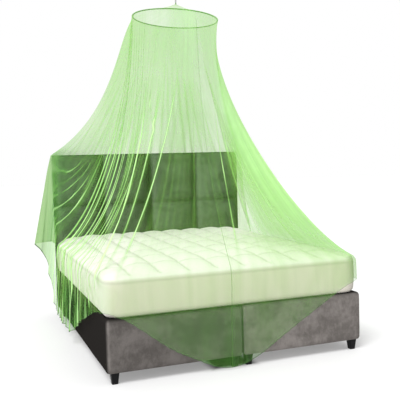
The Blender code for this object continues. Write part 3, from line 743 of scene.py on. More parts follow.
def drawn_in(u, v):
    """Where each point of cloth ends up round the net, and its bunches' ridges."""
    wavy = np.interp(v, [0.0, 0.30, EDGE_SHARE, 1.0], [0.0, 0.2, 0.5, 1.0]) * looseness(u)
    moved = u + 0.012 / HEM_LENGTH * wavy * wander(u, v, 41, 90, 16)
    ridge = np.zeros_like(moved)
    for at, width, tight, top, bottom, drift, height in all_bunches():
        centre = at + drift * (v - 0.5)
        apart = moved - centre
        apart = apart - np.round(apart)
        # One that starts at the hoop is already half drawn in there.
        begins = np.clip((v - top) / 0.22 + (top <= 0.02) * 0.5, 0, 1)
        held = eased(begins) * eased(ramp(v, bottom, bottom - 0.15))
        bell = np.exp(-(apart / (0.6 * width))**4) * held
        moved = moved - apart * tight * bell
        ridge += height * np.exp(-(apart / (0.4 * width))**2) * held
    return moved, ridge


def fine_folds(u, v, loose):
    """The small folds between the main ones: out, sideways, and 1 on their crests."""
    shape = np.interp(v, [0.0, 0.015, 0.10, 0.35, EDGE_SHARE - 0.02, EDGE_SHARE + 0.02, 1.0],
                      [0.0, 0.04, 0.12, 0.60, 0.55, 0.55, 1.0])
    drift = 0.9 * wander(u, v, 5, 40, 3)
    strength = 0.55 + 0.45 * wander(u, v, 7, 90, 4)
    turn = math.tau * (66 * u + drift)
    medium = (0.002 + 0.009 * loose) * shape * strength
    narrow_turn = math.tau * (118 * u + 1.2 * wander(u, v, 9, 60, 3))
    narrow = (0.0012 + 0.003 * loose) * shape * (0.5 + 0.5 * wander(u, v, 13, 120, 4))
    out = medium * (1 - np.cos(turn)) / 2 + narrow * (1 - np.cos(narrow_turn)) / 2
    sideways = 0.9 * medium * np.sin(2 * turn) + 0.5 * narrow * np.sin(2 * narrow_turn)
    crest = 0.6 * (1 - np.cos(turn)) / 2 + 0.4 * (1 - np.cos(narrow_turn)) / 2
    return out, sideways, crest


def net_point(u, v):
    """A point of the net, folds and all, in the bed's coordinates."""
    moved, ridge = drawn_in(u, v)
    moved = moved % 1.0
    out, sideways = main_folds(moved, v)
    loose = looseness(u) * np.interp(v, [0.0, 0.30, 0.50], [0.08, 0.30, 1.0])
    loose = loose * (1 - 0.6 * ramp(ridge, 0, 0.008))
    small_out, small_sideways, _ = fine_folds(u, v, loose)
    straight_out, run = level_directions(moved)
    below = ramp(v, EDGE_SHARE, EDGE_SHARE + 0.1)
    out = out * (1 - 0.40 * below) + small_out * (1 - 0.5 * below) + ridge * (1 - below)
    out = out + CASING_CLEARANCE * ramp(along("spread", moved), 0, -0.18) * ramp(v, 0.08, 0)
    return (plain_net(moved, v) + straight_out * out[..., None]
            + run * (sideways + small_sideways)[..., None])


def crowding(u, v):
    """How many times closer than plain net the cloth is drawn together at each point."""
    moved, _ = drawn_in(u, v)
    step = np.abs(np.gradient(moved, axis=1)) / np.gradient(u[0])
    ring = np.concatenate([step[:, -2:-1], step, step[:, 1:2]], axis=1)
    step = 0.25 * ring[:, :-2] + 0.5 * step + 0.25 * ring[:, 2:]
    return 1 / np.maximum(step, 0.09)


def cloth_layers(u, v):
    """How many layers of plain net each point looks like."""
    upper = by_place(u, front_seam=0.75, front_right=1.1, corner_fr_side=1.3, right_mid=0.6,
                     corner_br=0.5, back_mid=1.0, corner_bl=0.9, left_back=1.15,
                     corner_fl_side=1.0, front_left=1.05, front_end=0.9)
    sloping = by_place(u, front_seam=0.70, front_right=1.3, corner_fr_front=1.9,
                       corner_fr_side=2.7, right_front=3.5, right_mid=3.8, right_back=0.9,
                       corner_br=0.4, back_right=3.0, back_mid=2.3, back_left=2.2, corner_bl=1.5,
                       headboard_left=0.9, left_back=1.15, left_mid=1.1, corner_fl_side=0.8,
                       corner_fl_front=0.8, front_left=0.68)
    hanging = by_place(u, front_seam=0.85, front_right=0.85, corner_fr_side=1.5, right_mid=1.5,
                       corner_br=1.8, back_left=1.6, corner_bl=6.0, headboard_left=4.0,
                       left_back=1.9, left_mid=1.6, corner_fl_side=0.9, corner_fl_front=0.8,
                       front_left=0.8)
    contrast = by_place(u, front_seam=1.05, front_right=0.8, corner_fr_front=0.35, right_front=0.3,
                        right_mid=0.25, right_back=0.15, corner_br=0.2, back_right=0.6,
                        corner_bl=0.6, headboard_left=0.9, left_back=1.35, corner_fl_side=1.3,
                        corner_fl_front=1.2, front_left=0.9, front_end=1.0)
    on_left = by_place(u, front_seam=0, corner_bl=0, headboard_left=0.0, left_back=1,
                       corner_fl_side=1, corner_fl_front=0.25, front_left=0)
    pleated = by_place(u, front_seam=0, corner_bl=0, headboard_left=0.0, left_back=1, left_front=1,
                       corner_fl_side=0.1, corner_fl=0)
    down = np.interp(v, [0.0, 0.22, 0.36, 0.48, EDGE_SHARE, 1.0], [2.5, 2.1, 1.35, 1.0, 1.1, 1.0])
    down_left = np.interp(v, [0.0, 0.25, 0.40, 0.55, EDGE_SHARE, 1.0],
                          [1.5, 1.3, 1.25, 1.05, 0.8, 0.9])
    on_right = by_place(u, front_seam=0, front_right=0.6, corner_fr_front=1, right_front=1,
                        right_mid=0.4, right_back=0)
    down_right = np.interp(v, [0.0, 0.22, 0.36, 0.48, 0.58, EDGE_SHARE, 1.0],
                           [2.5, 2.3, 2.1, 1.7, 1.2, 1.2, 1.0])
    soft = np.interp(v, [0.0, 0.22, 0.38, EDGE_SHARE, 0.8], [0.10, 0.32, 1.0, 1.0, 0.65])
    by_side = upper + (sloping - upper) * ramp(v, 0.25, 0.45)
    by_side = by_side + (hanging - by_side) * ramp(v, EDGE_SHARE - 0.04, EDGE_SHARE + 0.04)
    plain = by_side * (down + (down_left - down) * on_left + (down_right - down) * on_right)
    cloudy = 1 + 0.15 * wander(u, v, 51, 14, 4)
    crest = fine_folds(u, v, 1.0)[2]
    striped = pleated * np.interp(v, [0.25, 0.40, 0.55, EDGE_SHARE, 0.8],
                                  [0.0, 0.60, 0.60, 0.30, 1.0])
    sharp = ramp(v, EDGE_SHARE + 0.05, EDGE_SHARE - 0.05)
    stripe = sharp * (7.0 * crest**4 - 0.5) + (1 - sharp) * (3.4 * crest**2 - 0.45)
    faint = 0.35 * (1 - on_left) * np.interp(v, [0.0, 0.3, EDGE_SHARE], [0.1, 0.35, 1.0])
    cloudy = cloudy * (1 + striped * stripe + faint * (crest - 0.5))
    return np.clip(plain * cloudy * crowding(u, v) ** (contrast * soft), 0.35, 14.0)


def in_shade(u, v):
    """1 where the net turns away from the light: the back left flare, and less the back right."""
    flare = by_place(u, front_seam=0, back_mid=0, back_left=0.6, corner_bl=1.0, headboard_left=0.8,
                     left_back=0.0)
    hollow = by_place(u, front_seam=0, headboard_right=0, corner_br=0.2, back_right=0.6,
                      back_mid=0.2, back_left=0.0)
    return flare * ramp(v, 0.52, 0.67) + hollow * ramp(v, 0.25, 0.45) * ramp(v, 0.8, 0.7)


def grid_shape(columns, rows):
    """A grid of columns and rows, with the column and row number of each corner."""
    shape = bmesh.new()
    bmesh.ops.create_grid(shape, x_segments=columns - 1, y_segments=rows - 1, size=0.5)
    spots = np.array([corner.co[:2] for corner in shape.verts]) + 0.5
    across = np.rint(spots[:, 0] * (columns - 1)).astype(int)
    down = np.rint(spots[:, 1] * (rows - 1)).astype(int)
    return shape, across, down


def cloth_mesh(name, places, across_m, down_m, measures, outward=None):
    """A sheet from a grid of places, with its cloth map in metres and its measures."""
    shape, across, down = grid_shape(places.shape[1], places.shape[0])
    for corner, place in zip(shape.verts, places[down, across]):
        corner.co = place
    mesh = mesh_from(shape, name)
    corners = np.empty(len(mesh.loops), int)
    mesh.loops.foreach_get("vertex_index", corners)
    cloth = mesh.uv_layers.new(name="Cloth")
    pairs = np.stack([np.asarray(across_m)[across], np.asarray(down_m)[down]], axis=-1)[corners]
    cloth.data.foreach_set("uv", pairs.ravel())
    for label, values in measures.items():
        keep_measure(mesh, label, values[down, across])
    shape = bmesh.new()
    shape.from_mesh(mesh)
    bmesh.ops.remove_doubles(shape, verts=shape.verts, dist=0.00001)
    shape.normal_update()
    if outward is not None:
        facing = sum(face.normal.dot(face.calc_center_median() - outward) * face.calc_area()
                     for face in shape.faces)
        if facing < 0:
            bmesh.ops.reverse_faces(shape, faces=shape.faces)
    return into_mesh(shape, mesh)


def net_rows(count):
    """Rows a little closer together at the hoop and at the bed's edge."""
    even = np.linspace(0, 1, count)
    return even - 0.016 * np.sin(math.tau * even / EDGE_SHARE) * (even < EDGE_SHARE)


class CANOPY_OT_skirt(Operator):
    """Build the sheer skirt of the net, from the hoop to its hem."""

    bl_idname = "canopy.skirt"
    bl_label = "Net Skirt"

    def execute(self, context):
        settings = context.scene.canopy_net
        columns = np.linspace(0, 1, settings.columns)
        rows = net_rows(settings.rows)
        u, v = columns[None, :], rows[:, None]
        places = net_point(u, v)
        places[:, -1] = places[:, 0]
        measures = {"layers": cloth_layers(u, v), "in_shade": in_shade(u, v)}
        mesh = cloth_mesh("net_skirt_sheet", bed_to_frame(places), columns * HEM_LENGTH,
                          rows * FALL_LENGTH, measures, INSIDE_NET)
        piece = finished("net_skirt_sheet", mesh, net_finish("sheer_net", settings),
                         ["net_skirt"])
        return {"FINISHED"}


class CANOPY_OT_cap(Operator):
    """Build the round cap over the hoop, gathered up to its neck."""

    bl_idname = "canopy.cap"
    bl_label = "Net Cap"

    def execute(self, context):
        settings = context.scene.canopy_net
        rim = HOOP_RADIUS + HOOP_WIRE + CAP_OUTSIDE_WIRE
        columns = np.linspace(0, 1, 361)
        steps = np.linspace(0, 1, 40)
        share = ramp(steps, 0, CAP_NECK_STARTS)[:, None]
        in_neck = ramp(steps, CAP_NECK_STARTS, 1)[:, None]
        turn = columns[None, :]
        gather = 0.0014 * share * (1 - share) * 4 * (
            np.cos(math.tau * 30 * turn + 2 * wander(turn, share, 31, 12, 2))
            * (0.6 + 0.4 * wander(turn, share, 33, 20, 2)))
        radius = rim + (CAP_NECK_RADIUS - rim) * share
        height = (HOOP_WIRE + CAP_ABOVE_WIRE + CAP_HEIGHT * share**CAP_PROFILE_POWER
                  + CAP_NECK_HEIGHT * in_neck + gather)
        places = hoop_points(math.tau * turn, radius, height)
        places[:, -1] = places[:, 0]
        close = 0.55 + 1.6 * share**8 + 0.5 * np.exp(-(share / 0.03)**2)
        layers = close + 0.2 * wander(turn, share, 35, 60, 1)
        mesh = cloth_mesh("net_cap_sheet", bed_to_frame(places), columns * math.tau * rim,
                          steps * CAP_SLOPE, {"layers": layers}, BELOW_CAP)
        piece = finished("net_cap_sheet", mesh, net_finish("sheer_net_cap", settings),
                         ["net_cap"])
        return {"FINISHED"}


class CANOPY_OT_hoop(Operator):
    """Build the hoop in its sewn casing."""

    bl_idname = "canopy.hoop"
    bl_label = "Hoop"

    def execute(self, context):
        settings = context.scene.canopy_net
        columns = np.linspace(0, 1, 241)
        round_wire = np.linspace(0, 1, 13)
        turn, section = columns[None, :], round_wire[:, None]
        wire = HOOP_WIRE * (0.94 + 0.06 * np.cos(math.tau * 90 * turn))
        radius = HOOP_RADIUS + wire * np.cos(math.tau * section)
        height = wire * np.sin(math.tau * section)
        places = hoop_points(math.tau * turn, radius, height)
        places[:, -1] = places[:, 0]
        places[-1] = places[0]
        mesh = cloth_mesh("hoop_in_casing", bed_to_frame(places),
                          columns * math.tau * HOOP_RADIUS, round_wire * math.tau * HOOP_WIRE, {})
        shape = bmesh.new()
        shape.from_mesh(mesh)
        bmesh.ops.recalc_face_normals(shape, faces=shape.faces)
        into_mesh(shape, mesh)
        finished("hoop_in_casing", mesh, casing_finish(settings), ["hoop"])
        return {"FINISHED"}


class CANOPY_OT_seam_tape(Operator):
    """Build the doubled strip that covers the front seam."""

    bl_idname = "canopy.seam_tape"
    bl_label = "Seam Tape"

    def execute(self, context):
        settings = context.scene.canopy_net
        half = SEAM_TAPE_WIDTH / 2 / HEM_LENGTH
        across = np.linspace(-half, half, 7)
        rows = net_rows(settings.rows)[2:]
        places = net_point(across[None, :] % 1.0, rows[:, None])
        middle = places[:, 3:4]
        sideways = places[:, -1:] - places[:, :1]
        sideways /= np.linalg.norm(sideways, axis=-1, keepdims=True)
        downward = np.gradient(middle, axis=0)
        outward = np.cross(downward, sideways)
        outward /= np.linalg.norm(outward, axis=-1, keepdims=True)
        outward *= np.where(outward[..., 1:2] > 0, -1.0, 1.0)
        offsets = np.linspace(-SEAM_TAPE_WIDTH / 2, SEAM_TAPE_WIDTH / 2, 7)
        flat_on = middle + sideways * offsets[None, :, None]
        flat_on = 0.5 * flat_on + 0.5 * places + outward * SEAM_TAPE_OFF_NET
        mesh = cloth_mesh("front_seam_strip", bed_to_frame(flat_on), offsets,
                          rows * FALL_LENGTH, {}, INSIDE_NET)
        piece = finished("front_seam_strip", mesh, tape_finish(settings),
                         ["front_seam_tape"])
        return {"FINISHED"}


# --- the bed ------------------------------------------------------------------------------

def block_grid(low, high, spacing):
    """A box between two corners whose faces are cut into a fine grid."""
    size = Vector(high) - Vector(low)
    place = Matrix.Translation((Vector(low) + Vector(high)) / 2)
    shape = bmesh.new()
    bmesh.ops.create_cube(shape, size=1.0, matrix=place @ Matrix.Diagonal((*size, 1.0)))
    for axis in range(3):
        cuts = max(int(round(size[axis] / spacing)), 1)
        normal = [0.0, 0.0, 0.0]
        normal[axis] = 1.0
        for k in range(1, cuts):
            spot = Vector(low)
            spot[axis] += size[axis] * k / cuts
            bmesh.ops.bisect_plane(shape, geom=shape.verts[:] + shape.edges[:] + shape.faces[:],
                                   plane_co=spot, plane_no=normal)
    return shape


def points_of(shape):
    return np.array([corner.co for corner in shape.verts])


def put_points(shape, places):
    for corner, place in zip(shape.verts, places):
        corner.co = place


def rounded_outline(places, low, high, radii):
    """Round the upright corners: radii for (left-front, right-front, left-back, right-back)."""
    moved = places.copy()
    for k, radius in enumerate(radii):
        sign = np.array([-1 if k % 2 == 0 else 1, -1 if k < 2 else 1])
        corner = np.where(sign < 0, low[:2], high[:2])
        centre = corner - sign * radius
        apart = (moved[:, :2] - centre) * sign
        inside = (apart > 0).all(axis=1)
        q = apart[inside]
        far = np.linalg.norm(q, axis=1)
        q = q * (q.max(axis=1) / np.maximum(far, 1e-9))[:, None]
        moved[inside, :2] = centre + q * sign
    return moved


def outline_distance(places, low, high, radii):
    """How far inside the rounded outline each point is, and which way out is."""
    middle, half = (low[:2] + high[:2]) / 2, (high[:2] - low[:2]) / 2
    local = places[:, :2] - middle
    k = (local[:, 0] > 0).astype(int) + 2 * (local[:, 1] > 0).astype(int)
    radius = np.maximum(np.array(radii)[k], 1e-6)
    q = np.abs(local) - (half - radius[:, None])
    out = np.maximum(q, 0)
    length = np.linalg.norm(out, axis=1)
    signed = length + np.minimum(q.max(axis=1), 0) - radius
    normal = np.where((length > 1e-7)[:, None], out / np.maximum(length, 1e-9)[:, None],
                      np.eye(2)[np.argmax(q, axis=1)])
    return -signed, normal * np.where(local < 0, -1.0, 1.0)


def soft_block(low, high, spacing, radii, rim):
    """A gridded block with rounded corners and rims, and how far in each point is."""
    low, high = np.array(low, float), np.array(high, float)
    shape = block_grid(low, high, spacing)
    places = rounded_outline(points_of(shape), low, high, radii)
    inward, normal = outline_distance(places, low, high, radii)
    side = np.maximum(rim - inward, 0)
    upper = np.maximum(places[:, 2] - (high[2] - rim), 0)
    lower = np.maximum((low[2] + rim) - places[:, 2], 0)
    rise = np.maximum(upper, lower)
    far = np.hypot(side, rise)
    shrink = np.where(far > 1e-9, np.maximum(side, rise) / np.maximum(far, 1e-9), 1.0)
    places[:, :2] += normal * (side * (shrink - 1))[:, None]
    places[:, 2] += np.where(upper > 0, 1.0, -1.0) * rise * (shrink - 1)
    return shape, places, inward, normal


def steady_noise(places, scale, seed):
    """Soft noise from a few slow waves, the same on every run."""
    chance = np.random.default_rng(seed)
    total = np.zeros(len(places))
    for _ in range(7):
        direction = chance.normal(size=3)
        direction /= np.linalg.norm(direction)
        total += np.sin(places @ direction * scale * chance.uniform(0.6, 1.8)
                        + chance.uniform(0, math.tau))
    return total / 7


def quilt_count_along(x, y, settings):
    """Rows of stitching passed, for the rows that run from head to foot."""
    return (x - settings.quilt_lean * y + 0.471) / settings.quilt_width


def quilt_count_across(x, y, settings):
    """Rows of stitching passed, for the rows that run from side to side."""
    return (y + settings.quilt_lean * x + 0.05) / settings.quilt_length


def quilting(x, y, settings):
    """Pillow height: 1 between the stitch rows, 0 on those along the bed, 0.5 on those across."""
    pillow = 1.0
    for count, weight in ((quilt_count_along(x, y, settings), 1.0),
                          (quilt_count_across(x, y, settings), 0.5)):
        near = np.abs(count - np.round(count)) * 2
        pillow = pillow * (1 - weight + weight * np.sin(near * math.pi / 2)**0.6)
    return pillow


class CANOPY_OT_mattress(Operator):
    """Build the mattress: quilted top panel, rolled edge and smooth sides."""

    bl_idname = "canopy.mattress"
    bl_label = "Mattress"

    def execute(self, context):
        settings = context.scene.canopy_bed
        low = np.array(mattress_low) + (0.003, 0.004, 0.0002)
        high = np.array(mattress_high) - (0.003, 0.004, 0.004)
        shape, places, inward, normal = soft_block(
            low, high, spacing=0.0135, radii=(0.10, 0.10, 0.06, 0.06), rim=0.034)
        x, y, z = places.T.copy()
        level = (z - low[2]) / (high[2] - low[2])
        top = ramp(z, high[2] - 0.030, high[2] - 0.022)
        on_top = ramp(inward, 0, 0.07) * top
        lift = settings.quilt_depth * (quilting(x, y, settings) - 0.75) * on_top
        crown = ramp(x, low[0], low[0] + 0.28) * ramp(x, high[0], high[0] - 0.28)
        crown *= ramp(y, low[1], low[1] + 0.30) * (0.45 + 0.55 * ramp(y, low[1], high[1]))
        lift += settings.crown * crown * (2 - crown) * top
        lift += 0.004 * steady_noise(places, 9.0, 3) * on_top
        places[:, 2] += lift + 0.004 * on_top
        belly = 0.006 * np.sin(math.pi * np.clip(level, 0, 1)) * ramp(inward, 0.02, 0)
        crumple = 0.0022 * steady_noise(places * (1, 1, 0.35), 26.0, 5)
        crumple += 0.0012 * steady_noise(places * (1, 1, 0.2), 70.0, 6)
        side = ramp(inward, 0.03, 0)
        places[:, :2] += normal * (side * (belly - 0.004 + crumple * (1 - level * 0.4)))[:, None]
        places[:, 0] = np.clip(places[:, 0], mattress_low.x - 0.002, mattress_high.x + 0.002)
        places[:, 1] = np.clip(places[:, 1], mattress_low.y - 0.002, mattress_high.y - 0.0002)
        put_points(shape, places)
        mesh = mesh_from(shape, "quilted_mattress")
        # The left side, which faces the light, takes most of the top's paler colour: painted light.
        faces_left = ramp(normal[:, 0], -0.5, -1.0) * side
        keep_measure(mesh, "top_panel_and_painted_light", np.maximum(top, 0.75 * faces_left))
        keep_measure(mesh, "quilted", on_top)
        # A dark line just under the rolled edge, partly its seam and partly painted shade under the
        # edge, and painted shade round the far right corner.
        seam = 0.55 * side * np.exp(-((high[2] - 0.036 - z) / 0.006)**2)
        painted_corner_shade = ramp(places[:, 0], high[0] - 0.12, high[0] - 0.02) * side
        keep_measure(mesh, "rim_seam_and_painted_shade", np.maximum(seam, 0.9 * painted_corner_shade))
        piece = finished("quilted_mattress", mesh, mattress_finish(settings),
                         ["mattress"])
        return {"FINISHED"}


DARKER_HALF = 0.36              # how much darker the whole left half is made


class CANOPY_OT_bases(Operator):
    """Build the two upholstered halves of the base."""

    bl_idname = "canopy.bases"
    bl_label = "Base Halves"

    def execute(self, context):
        settings = context.scene.canopy_bed
        velvet = velvet_finish("base_velvet", settings.base_light, settings.base_dark,
                               grain_scale=340.0)
        for node, radii in (("base_left", (0.032, 0.006, 0.004, 0.004)),
                            ("base_right", (0.006, 0.032, 0.004, 0.004))):
            low, high = (np.array(corner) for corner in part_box(node))
            shape, places, inward, normal = soft_block(low, high, 0.016, radii, rim=0.014)
            side = ramp(inward, 0.02, 0)
            near_rim = np.minimum(places[:, 2] - low[2], high[2] - places[:, 2])
            sunk = 0.0045 * np.exp(-near_rim / 0.02) + 0.0016
            sunk += 0.0012 * steady_noise(places * (1, 1, 1.4), 17.0, 8)
            places[:, :2] -= normal * (side * np.clip(sunk, 0.0005, 1))[:, None]
            put_points(shape, places)
            name = node + "_upholstery"
            mesh = mesh_from(shape, name)
            # Painted shade: a dark line along the top edge, where the mattress sits on it.
            darkening = 0.9 * np.exp(-(high[2] - places[:, 2]) / 0.007)
            lit_corner = 0.0
            if node == "base_left":
                # Painted shade on the left face, which turns from the light, and a painted highlight
                # down the rounded front-left corner; the whole left half is also made darker.
                faces_left = np.clip(-normal[:, 0] * 2.2 - 1.2, 0, 1) * side
                darkening += 0.93 * faces_left + DARKER_HALF
                at_corner = ramp(np.abs(normal[:, 0] + 0.5), 0.3, 0) * side
                lit_corner = 0.40 * at_corner * np.clip(-normal[:, 1], 0, 1)
            keep_measure(mesh, "painted_shade_and_highlight", np.clip(darkening, 0, 1) - lit_corner)
            piece = finished(name, mesh, velvet, [node])
        return {"FINISHED"}


class CANOPY_OT_headboard(Operator):
    """Build the padded headboard with its grid of cushions."""

    bl_idname = "canopy.headboard"
    bl_label = "Headboard"

    def execute(self, context):
        settings = context.scene.canopy_bed
        low, high = (np.array(corner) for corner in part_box("headboard"))
        shape = block_grid(low, high, spacing=0.0148)
        places = points_of(shape)
        pad_width = (high[0] - low[0]) / settings.pad_columns
        pad_height = (high[2] - low[2]) / settings.pad_rows
        across = (places[:, 0] - low[0]) / pad_width
        up = (places[:, 2] - low[2]) / pad_height
        from_column = np.abs(across - np.round(across)) * pad_width
        from_row = np.abs(up - np.round(up)) * pad_height
        crown = ((1 - np.exp(-(from_column / 0.030)**1.2))
                 * (1 - np.exp(-(from_row / 0.022)**1.2)))
        front = ramp(places[:, 1], high[1], low[1]) ** 6
        pucker = 0.0035 * steady_noise(places * (1, 1, 0.5), 34.0, 12)
        pucker *= np.exp(-(from_row / 0.05)) + np.exp(-(from_column / 0.05))
        depth = 0.024 * (1 - crown) + np.abs(pucker) * crown + 0.001
        places[:, 1] += front * depth
        edge = np.minimum.reduce([places[:, 0] - low[0], high[0] - places[:, 0],
                                  high[2] - places[:, 2]])
        places[:, 1] += np.where(places[:, 1] < low[1] + 0.05,
                                 0.012 * np.exp(-edge / 0.008), 0.0)
        places[:, 1] -= np.where(places[:, 1] > high[1] - 0.001,
                                 0.003 * np.exp(-edge / 0.006), 0.0)
        put_points(shape, places)
        mesh = mesh_from(shape, "padded_headboard")
        # Painted shade down each cushion's right side and along the seams between cushions, and a
        # painted highlight near each cushion's left side.
        in_pad = (across - np.floor(across)) * pad_width
        painted_pad_shade = 1.25 * np.exp(-(pad_width - in_pad) / 0.10) + 0.7 * np.exp(-from_row / 0.012)
        painted_pad_shade += np.exp(-from_column / 0.010)
        painted_pad_highlight = 0.5 * np.exp(-np.abs(in_pad - 0.035) / 0.025)
        keep_measure(mesh, "painted_shade_and_highlight",
                     np.clip(painted_pad_shade - painted_pad_highlight, -0.5, 0.95) * front)
        velvet = velvet_finish("headboard_velvet", settings.headboard_light,
                               settings.headboard_dark, grain_scale=300.0)
        piece = finished("padded_headboard", mesh, velvet, ["headboard"],
                         smooth_angle=55)
        return {"FINISHED"}


class CANOPY_OT_small_parts(Operator):
    """Finish the feet, the cord, the ceiling hook and its plate."""

    bl_idname = "canopy.small_parts"
    bl_label = "Feet, Cord and Hook"

    def execute(self, context):
        lacquer, cord, steel = lacquer_finish(), cord_finish(), steel_finish()
        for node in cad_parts:
            if node.startswith("foot_"):
                refinish(node, lacquer)
        refinish("hanging_cord", cord)
        for node in ("ceiling_hook", "hook_plate"):
            refinish(node, steel)
        return {"FINISHED"}


# --- stage ----------------------------------------------------------------------------------

def place_camera(settings):
    """The camera at the photo's angle, turned by its yaw, pitch and roll."""
    view = bpy.data.cameras.new("camera")
    view.lens, view.sensor_width = settings.lens, 36.0
    yaw, pitch, roll = settings.yaw, settings.pitch, settings.roll
    ahead = Vector((math.sin(yaw) * math.cos(pitch), math.cos(yaw) * math.cos(pitch),
                    math.sin(pitch)))
    level = Vector((math.cos(yaw), -math.sin(yaw), 0.0))
    upright = level.cross(ahead)
    right = level * math.cos(roll) + upright * math.sin(roll)
    up = upright * math.cos(roll) - level * math.sin(roll)
    turned = Matrix((right, up, -ahead)).transposed().to_4x4()
    camera = linked("camera", view)
    camera.matrix_world = Matrix.Translation(Vector(settings.camera_place) + BED) @ turned
    bpy.context.scene.camera = camera


def light_room(settings):
    """Even light from all round, in a room that looks white to the camera."""
    world = bpy.data.worlds.new("studio")
    world.use_nodes = True
    tree = world.node_tree
    plain = tree.nodes["Background"]
    seen = tree.nodes.new("ShaderNodeBackground")
    for light, strength in ((plain, settings.ambient), (seen, 1.0)):
        light.inputs["Color"].default_value = (1.0, 1.0, 1.0, 1.0)
        light.inputs["Strength"].default_value = strength
    paths = tree.nodes.new("ShaderNodeLightPath")
    either = tree.nodes.new("ShaderNodeMixShader")
    tree.links.new(paths.outputs["Is Camera Ray"], either.inputs[0])
    tree.links.new(plain.outputs[0], either.inputs[1])
    tree.links.new(seen.outputs[0], either.inputs[2])
    tree.links.new(either.outputs[0], tree.nodes["World Output"].inputs["Surface"])
    bpy.context.scene.world = world


class CANOPY_OT_stage(Operator):
    """Set up the floor, the lights and the camera."""

    bl_idname = "canopy.stage"
    bl_label = "Stage"

    def execute(self, context):
        settings = context.scene.canopy_stage
        place_camera(settings)

        shape = bmesh.new()
        bmesh.ops.create_circle(shape, cap_ends=True, radius=40.0, segments=96)
        mesh = mesh_from(shape, "studio_floor")
        mesh.materials.append(floor_finish(settings))
        linked("studio_floor", mesh)

        lamp = bpy.data.lights.new("soft_sun", "SUN")
        lamp.energy, lamp.angle = settings.sun_strength, settings.sun_softness
        sun = linked("soft_sun", lamp)
        sun.rotation_euler = Vector(settings.sun_from).to_track_quat("Z", "Y").to_euler()

        light_room(settings)
        context.scene.view_settings.view_transform = "Standard"
        context.scene.cycles.transparent_max_bounces = 48
        return {"FINISHED"}


# --- settings, panel and running -----------------------------------------------------------

def tint(name, description, value):
    return FloatVectorProperty(name=name, description=description, default=value,
                               subtype="COLOR", size=3, min=0.0, max=1.0)


def whole(name, description, value, low, high):
    return IntProperty(name=name, description=description, default=value, min=low, max=high)


def number(name, description, value, low, high, unit="NONE", subtype="NONE"):
    return FloatProperty(name=name, description=description, default=value, min=low, max=high,
                         unit=unit, subtype=subtype)


def turning(name, description, degrees, **limits):
    return FloatProperty(name=name, description=description, default=math.radians(degrees),
                         subtype="ANGLE", **limits)


class CanopyNetSettings(PropertyGroup):
    columns: whole("Columns", "Columns of the net round the bed", 1301, 200, 2000)
    rows: whole("Rows", "Rows of the net from the hoop to its hem", 75, 40, 300)
    cover: number("Cover", "Share of one flat layer that its threads fill", 0.25, 0.05, 0.9,
                  subtype="FACTOR")
    thin_colour: tint("Thin Colour", "Thread colour where the net lies flat", (0.27, 0.92, 0.15))
    thick_colour: tint("Thick Colour", "Thread colour where it is gathered", (0.64, 1.00, 0.44))
    glow_colour: tint("Glow", "Thread colour lit from behind", (0.42, 0.58, 0.17))
    # The hem colour is also the dark colour of the net's painted shade.
    hem_and_shade_colour: tint("Hem Colour", "Colour of the hem's turned edge", (0.02, 0.06, 0.015))
    hoop_colour: tint("Hoop", "Colour of the hoop through its casing", (0.04, 0.11, 0.03))
    casing_colour: tint("Casing", "Colour of the casing round the hoop", (0.12, 0.28, 0.07))


class CanopyBedSettings(PropertyGroup):
    quilt_width: number("Quilt Width", "Stitch row to stitch row, across the bed",
                        0.19, 0.05, 1.0, "LENGTH")
    quilt_length: number("Quilt Length", "Stitch row to stitch row, along the bed",
                         0.27, 0.05, 1.0, "LENGTH")
    quilt_depth: number("Quilt Depth", "Depth of the quilting", 0.034, 0.0, 0.05, "LENGTH")
    quilt_lean: number("Quilt Lean", "Sideways lean of the stitch rows", 0.02, -1.0, 1.0)
    crown: number("Crown", "Rise of the soft top at its middle", 0.045, 0.0, 0.1, "LENGTH")
    pad_columns: whole("Pad Columns", "Cushions across the headboard", 4, 1, 12)
    pad_rows: whole("Pad Rows", "Cushions up the headboard", 3, 1, 8)
    top_colour: tint("Top", "Quilted top panel", (0.88, 0.845, 0.83))
    top_shade: tint("Top Shade", "Top panel along its stitching", (0.58, 0.58, 0.52))
    side_colour: tint("Sides", "Smooth stretch sides", (0.73, 0.68, 0.61))
    side_shade: tint("Side Shade", "Sides where they crease", (0.64, 0.60, 0.50))
    rim_shade: tint("Rim Shade", "Shade along the rim and round the far corner",
                    (0.36, 0.35, 0.30))
    base_light: tint("Base Light", "Base velvet, nap towards the light", (0.235, 0.214, 0.202))
    base_dark: tint("Base Dark", "Base velvet, nap away from the light", (0.125, 0.113, 0.105))
    headboard_light: tint("Headboard Light", "Headboard velvet, nap towards the light",
                          (0.13, 0.155, 0.125))
    headboard_dark: tint("Headboard Dark", "Headboard velvet, nap away from the light",
                         (0.055, 0.068, 0.055))


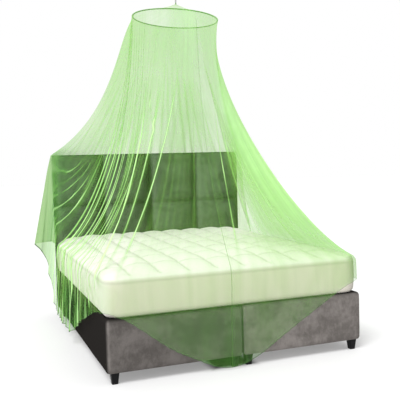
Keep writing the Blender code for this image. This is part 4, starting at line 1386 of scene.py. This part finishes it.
class CanopyStageSettings(PropertyGroup):
    camera_place: FloatVectorProperty(name="Camera", description="Camera's place from the bed",
                                      default=(-1.667, -4.784, 1.327), size=3,
                                      subtype="TRANSLATION", unit="LENGTH")
    yaw: turning("Yaw", "Turn of the camera from +Y towards +X", 20.51)
    pitch: turning("Pitch", "Camera's tilt above the level", -3.35)
    roll: turning("Roll", "Camera's roll", -1.57)
    lens: number("Lens", "Focal length on a 36 mm sensor", 57.57, 10.0, 300.0, "CAMERA")
    sun_from: FloatVectorProperty(name="Light From", description="Where the main light comes from",
                                  default=(-0.42, -0.34, 0.84), size=3, subtype="DIRECTION")
    sun_strength: FloatProperty(name="Main Light", description="Strength of the main light",
                                default=2.20, min=0.0)
    sun_softness: turning("Softness", "Width of the main light", 24.0, min=0.0)
    ambient: number("Ambient", "Even light from all round", 0.86, 0.0, 5.0)
    floor_colour: tint("Floor", "Pale floor", (0.60, 0.60, 0.60))
    floor_glow: number("Floor Glow", "Light given by the floor itself", 0.26, 0.0, 1.0)


class CANOPY_PT_panel(Panel):
    """Lists the pieces of the canopy."""

    bl_idname = "CANOPY_PT_panel"
    bl_label = "Mosquito Net Canopy"
    bl_space_type = "VIEW_3D"
    bl_region_type = "UI"
    bl_category = "Canopy"

    def draw(self, context):
        for piece in PIECES:
            self.layout.operator(piece.bl_idname)
        for group in ("canopy_net", "canopy_bed", "canopy_stage"):
            settings = getattr(context.scene, group)
            box = self.layout.box()
            for name in settings.__annotations__:
                box.prop(settings, name)


PIECES = (CANOPY_OT_stage, CANOPY_OT_mattress, CANOPY_OT_bases, CANOPY_OT_headboard,
          CANOPY_OT_small_parts, CANOPY_OT_hoop, CANOPY_OT_cap, CANOPY_OT_skirt,
          CANOPY_OT_seam_tape)
SETTINGS = {"canopy_net": CanopyNetSettings, "canopy_bed": CanopyBedSettings,
            "canopy_stage": CanopyStageSettings}


def register():
    for kind in (*SETTINGS.values(), *PIECES, CANOPY_PT_panel):
        bpy.utils.register_class(kind)
    for name, kind in SETTINGS.items():
        setattr(bpy.types.Scene, name, PointerProperty(type=kind))


def unregister():
    for name in SETTINGS:
        delattr(bpy.types.Scene, name)
    for kind in reversed((*SETTINGS.values(), *PIECES, CANOPY_PT_panel)):
        bpy.utils.unregister_class(kind)


def main():
    register()
    for piece in PIECES:
        family, name = piece.bl_idname.split(".")
        getattr(getattr(bpy.ops, family), name)()


if __name__ == "__main__":
    main()
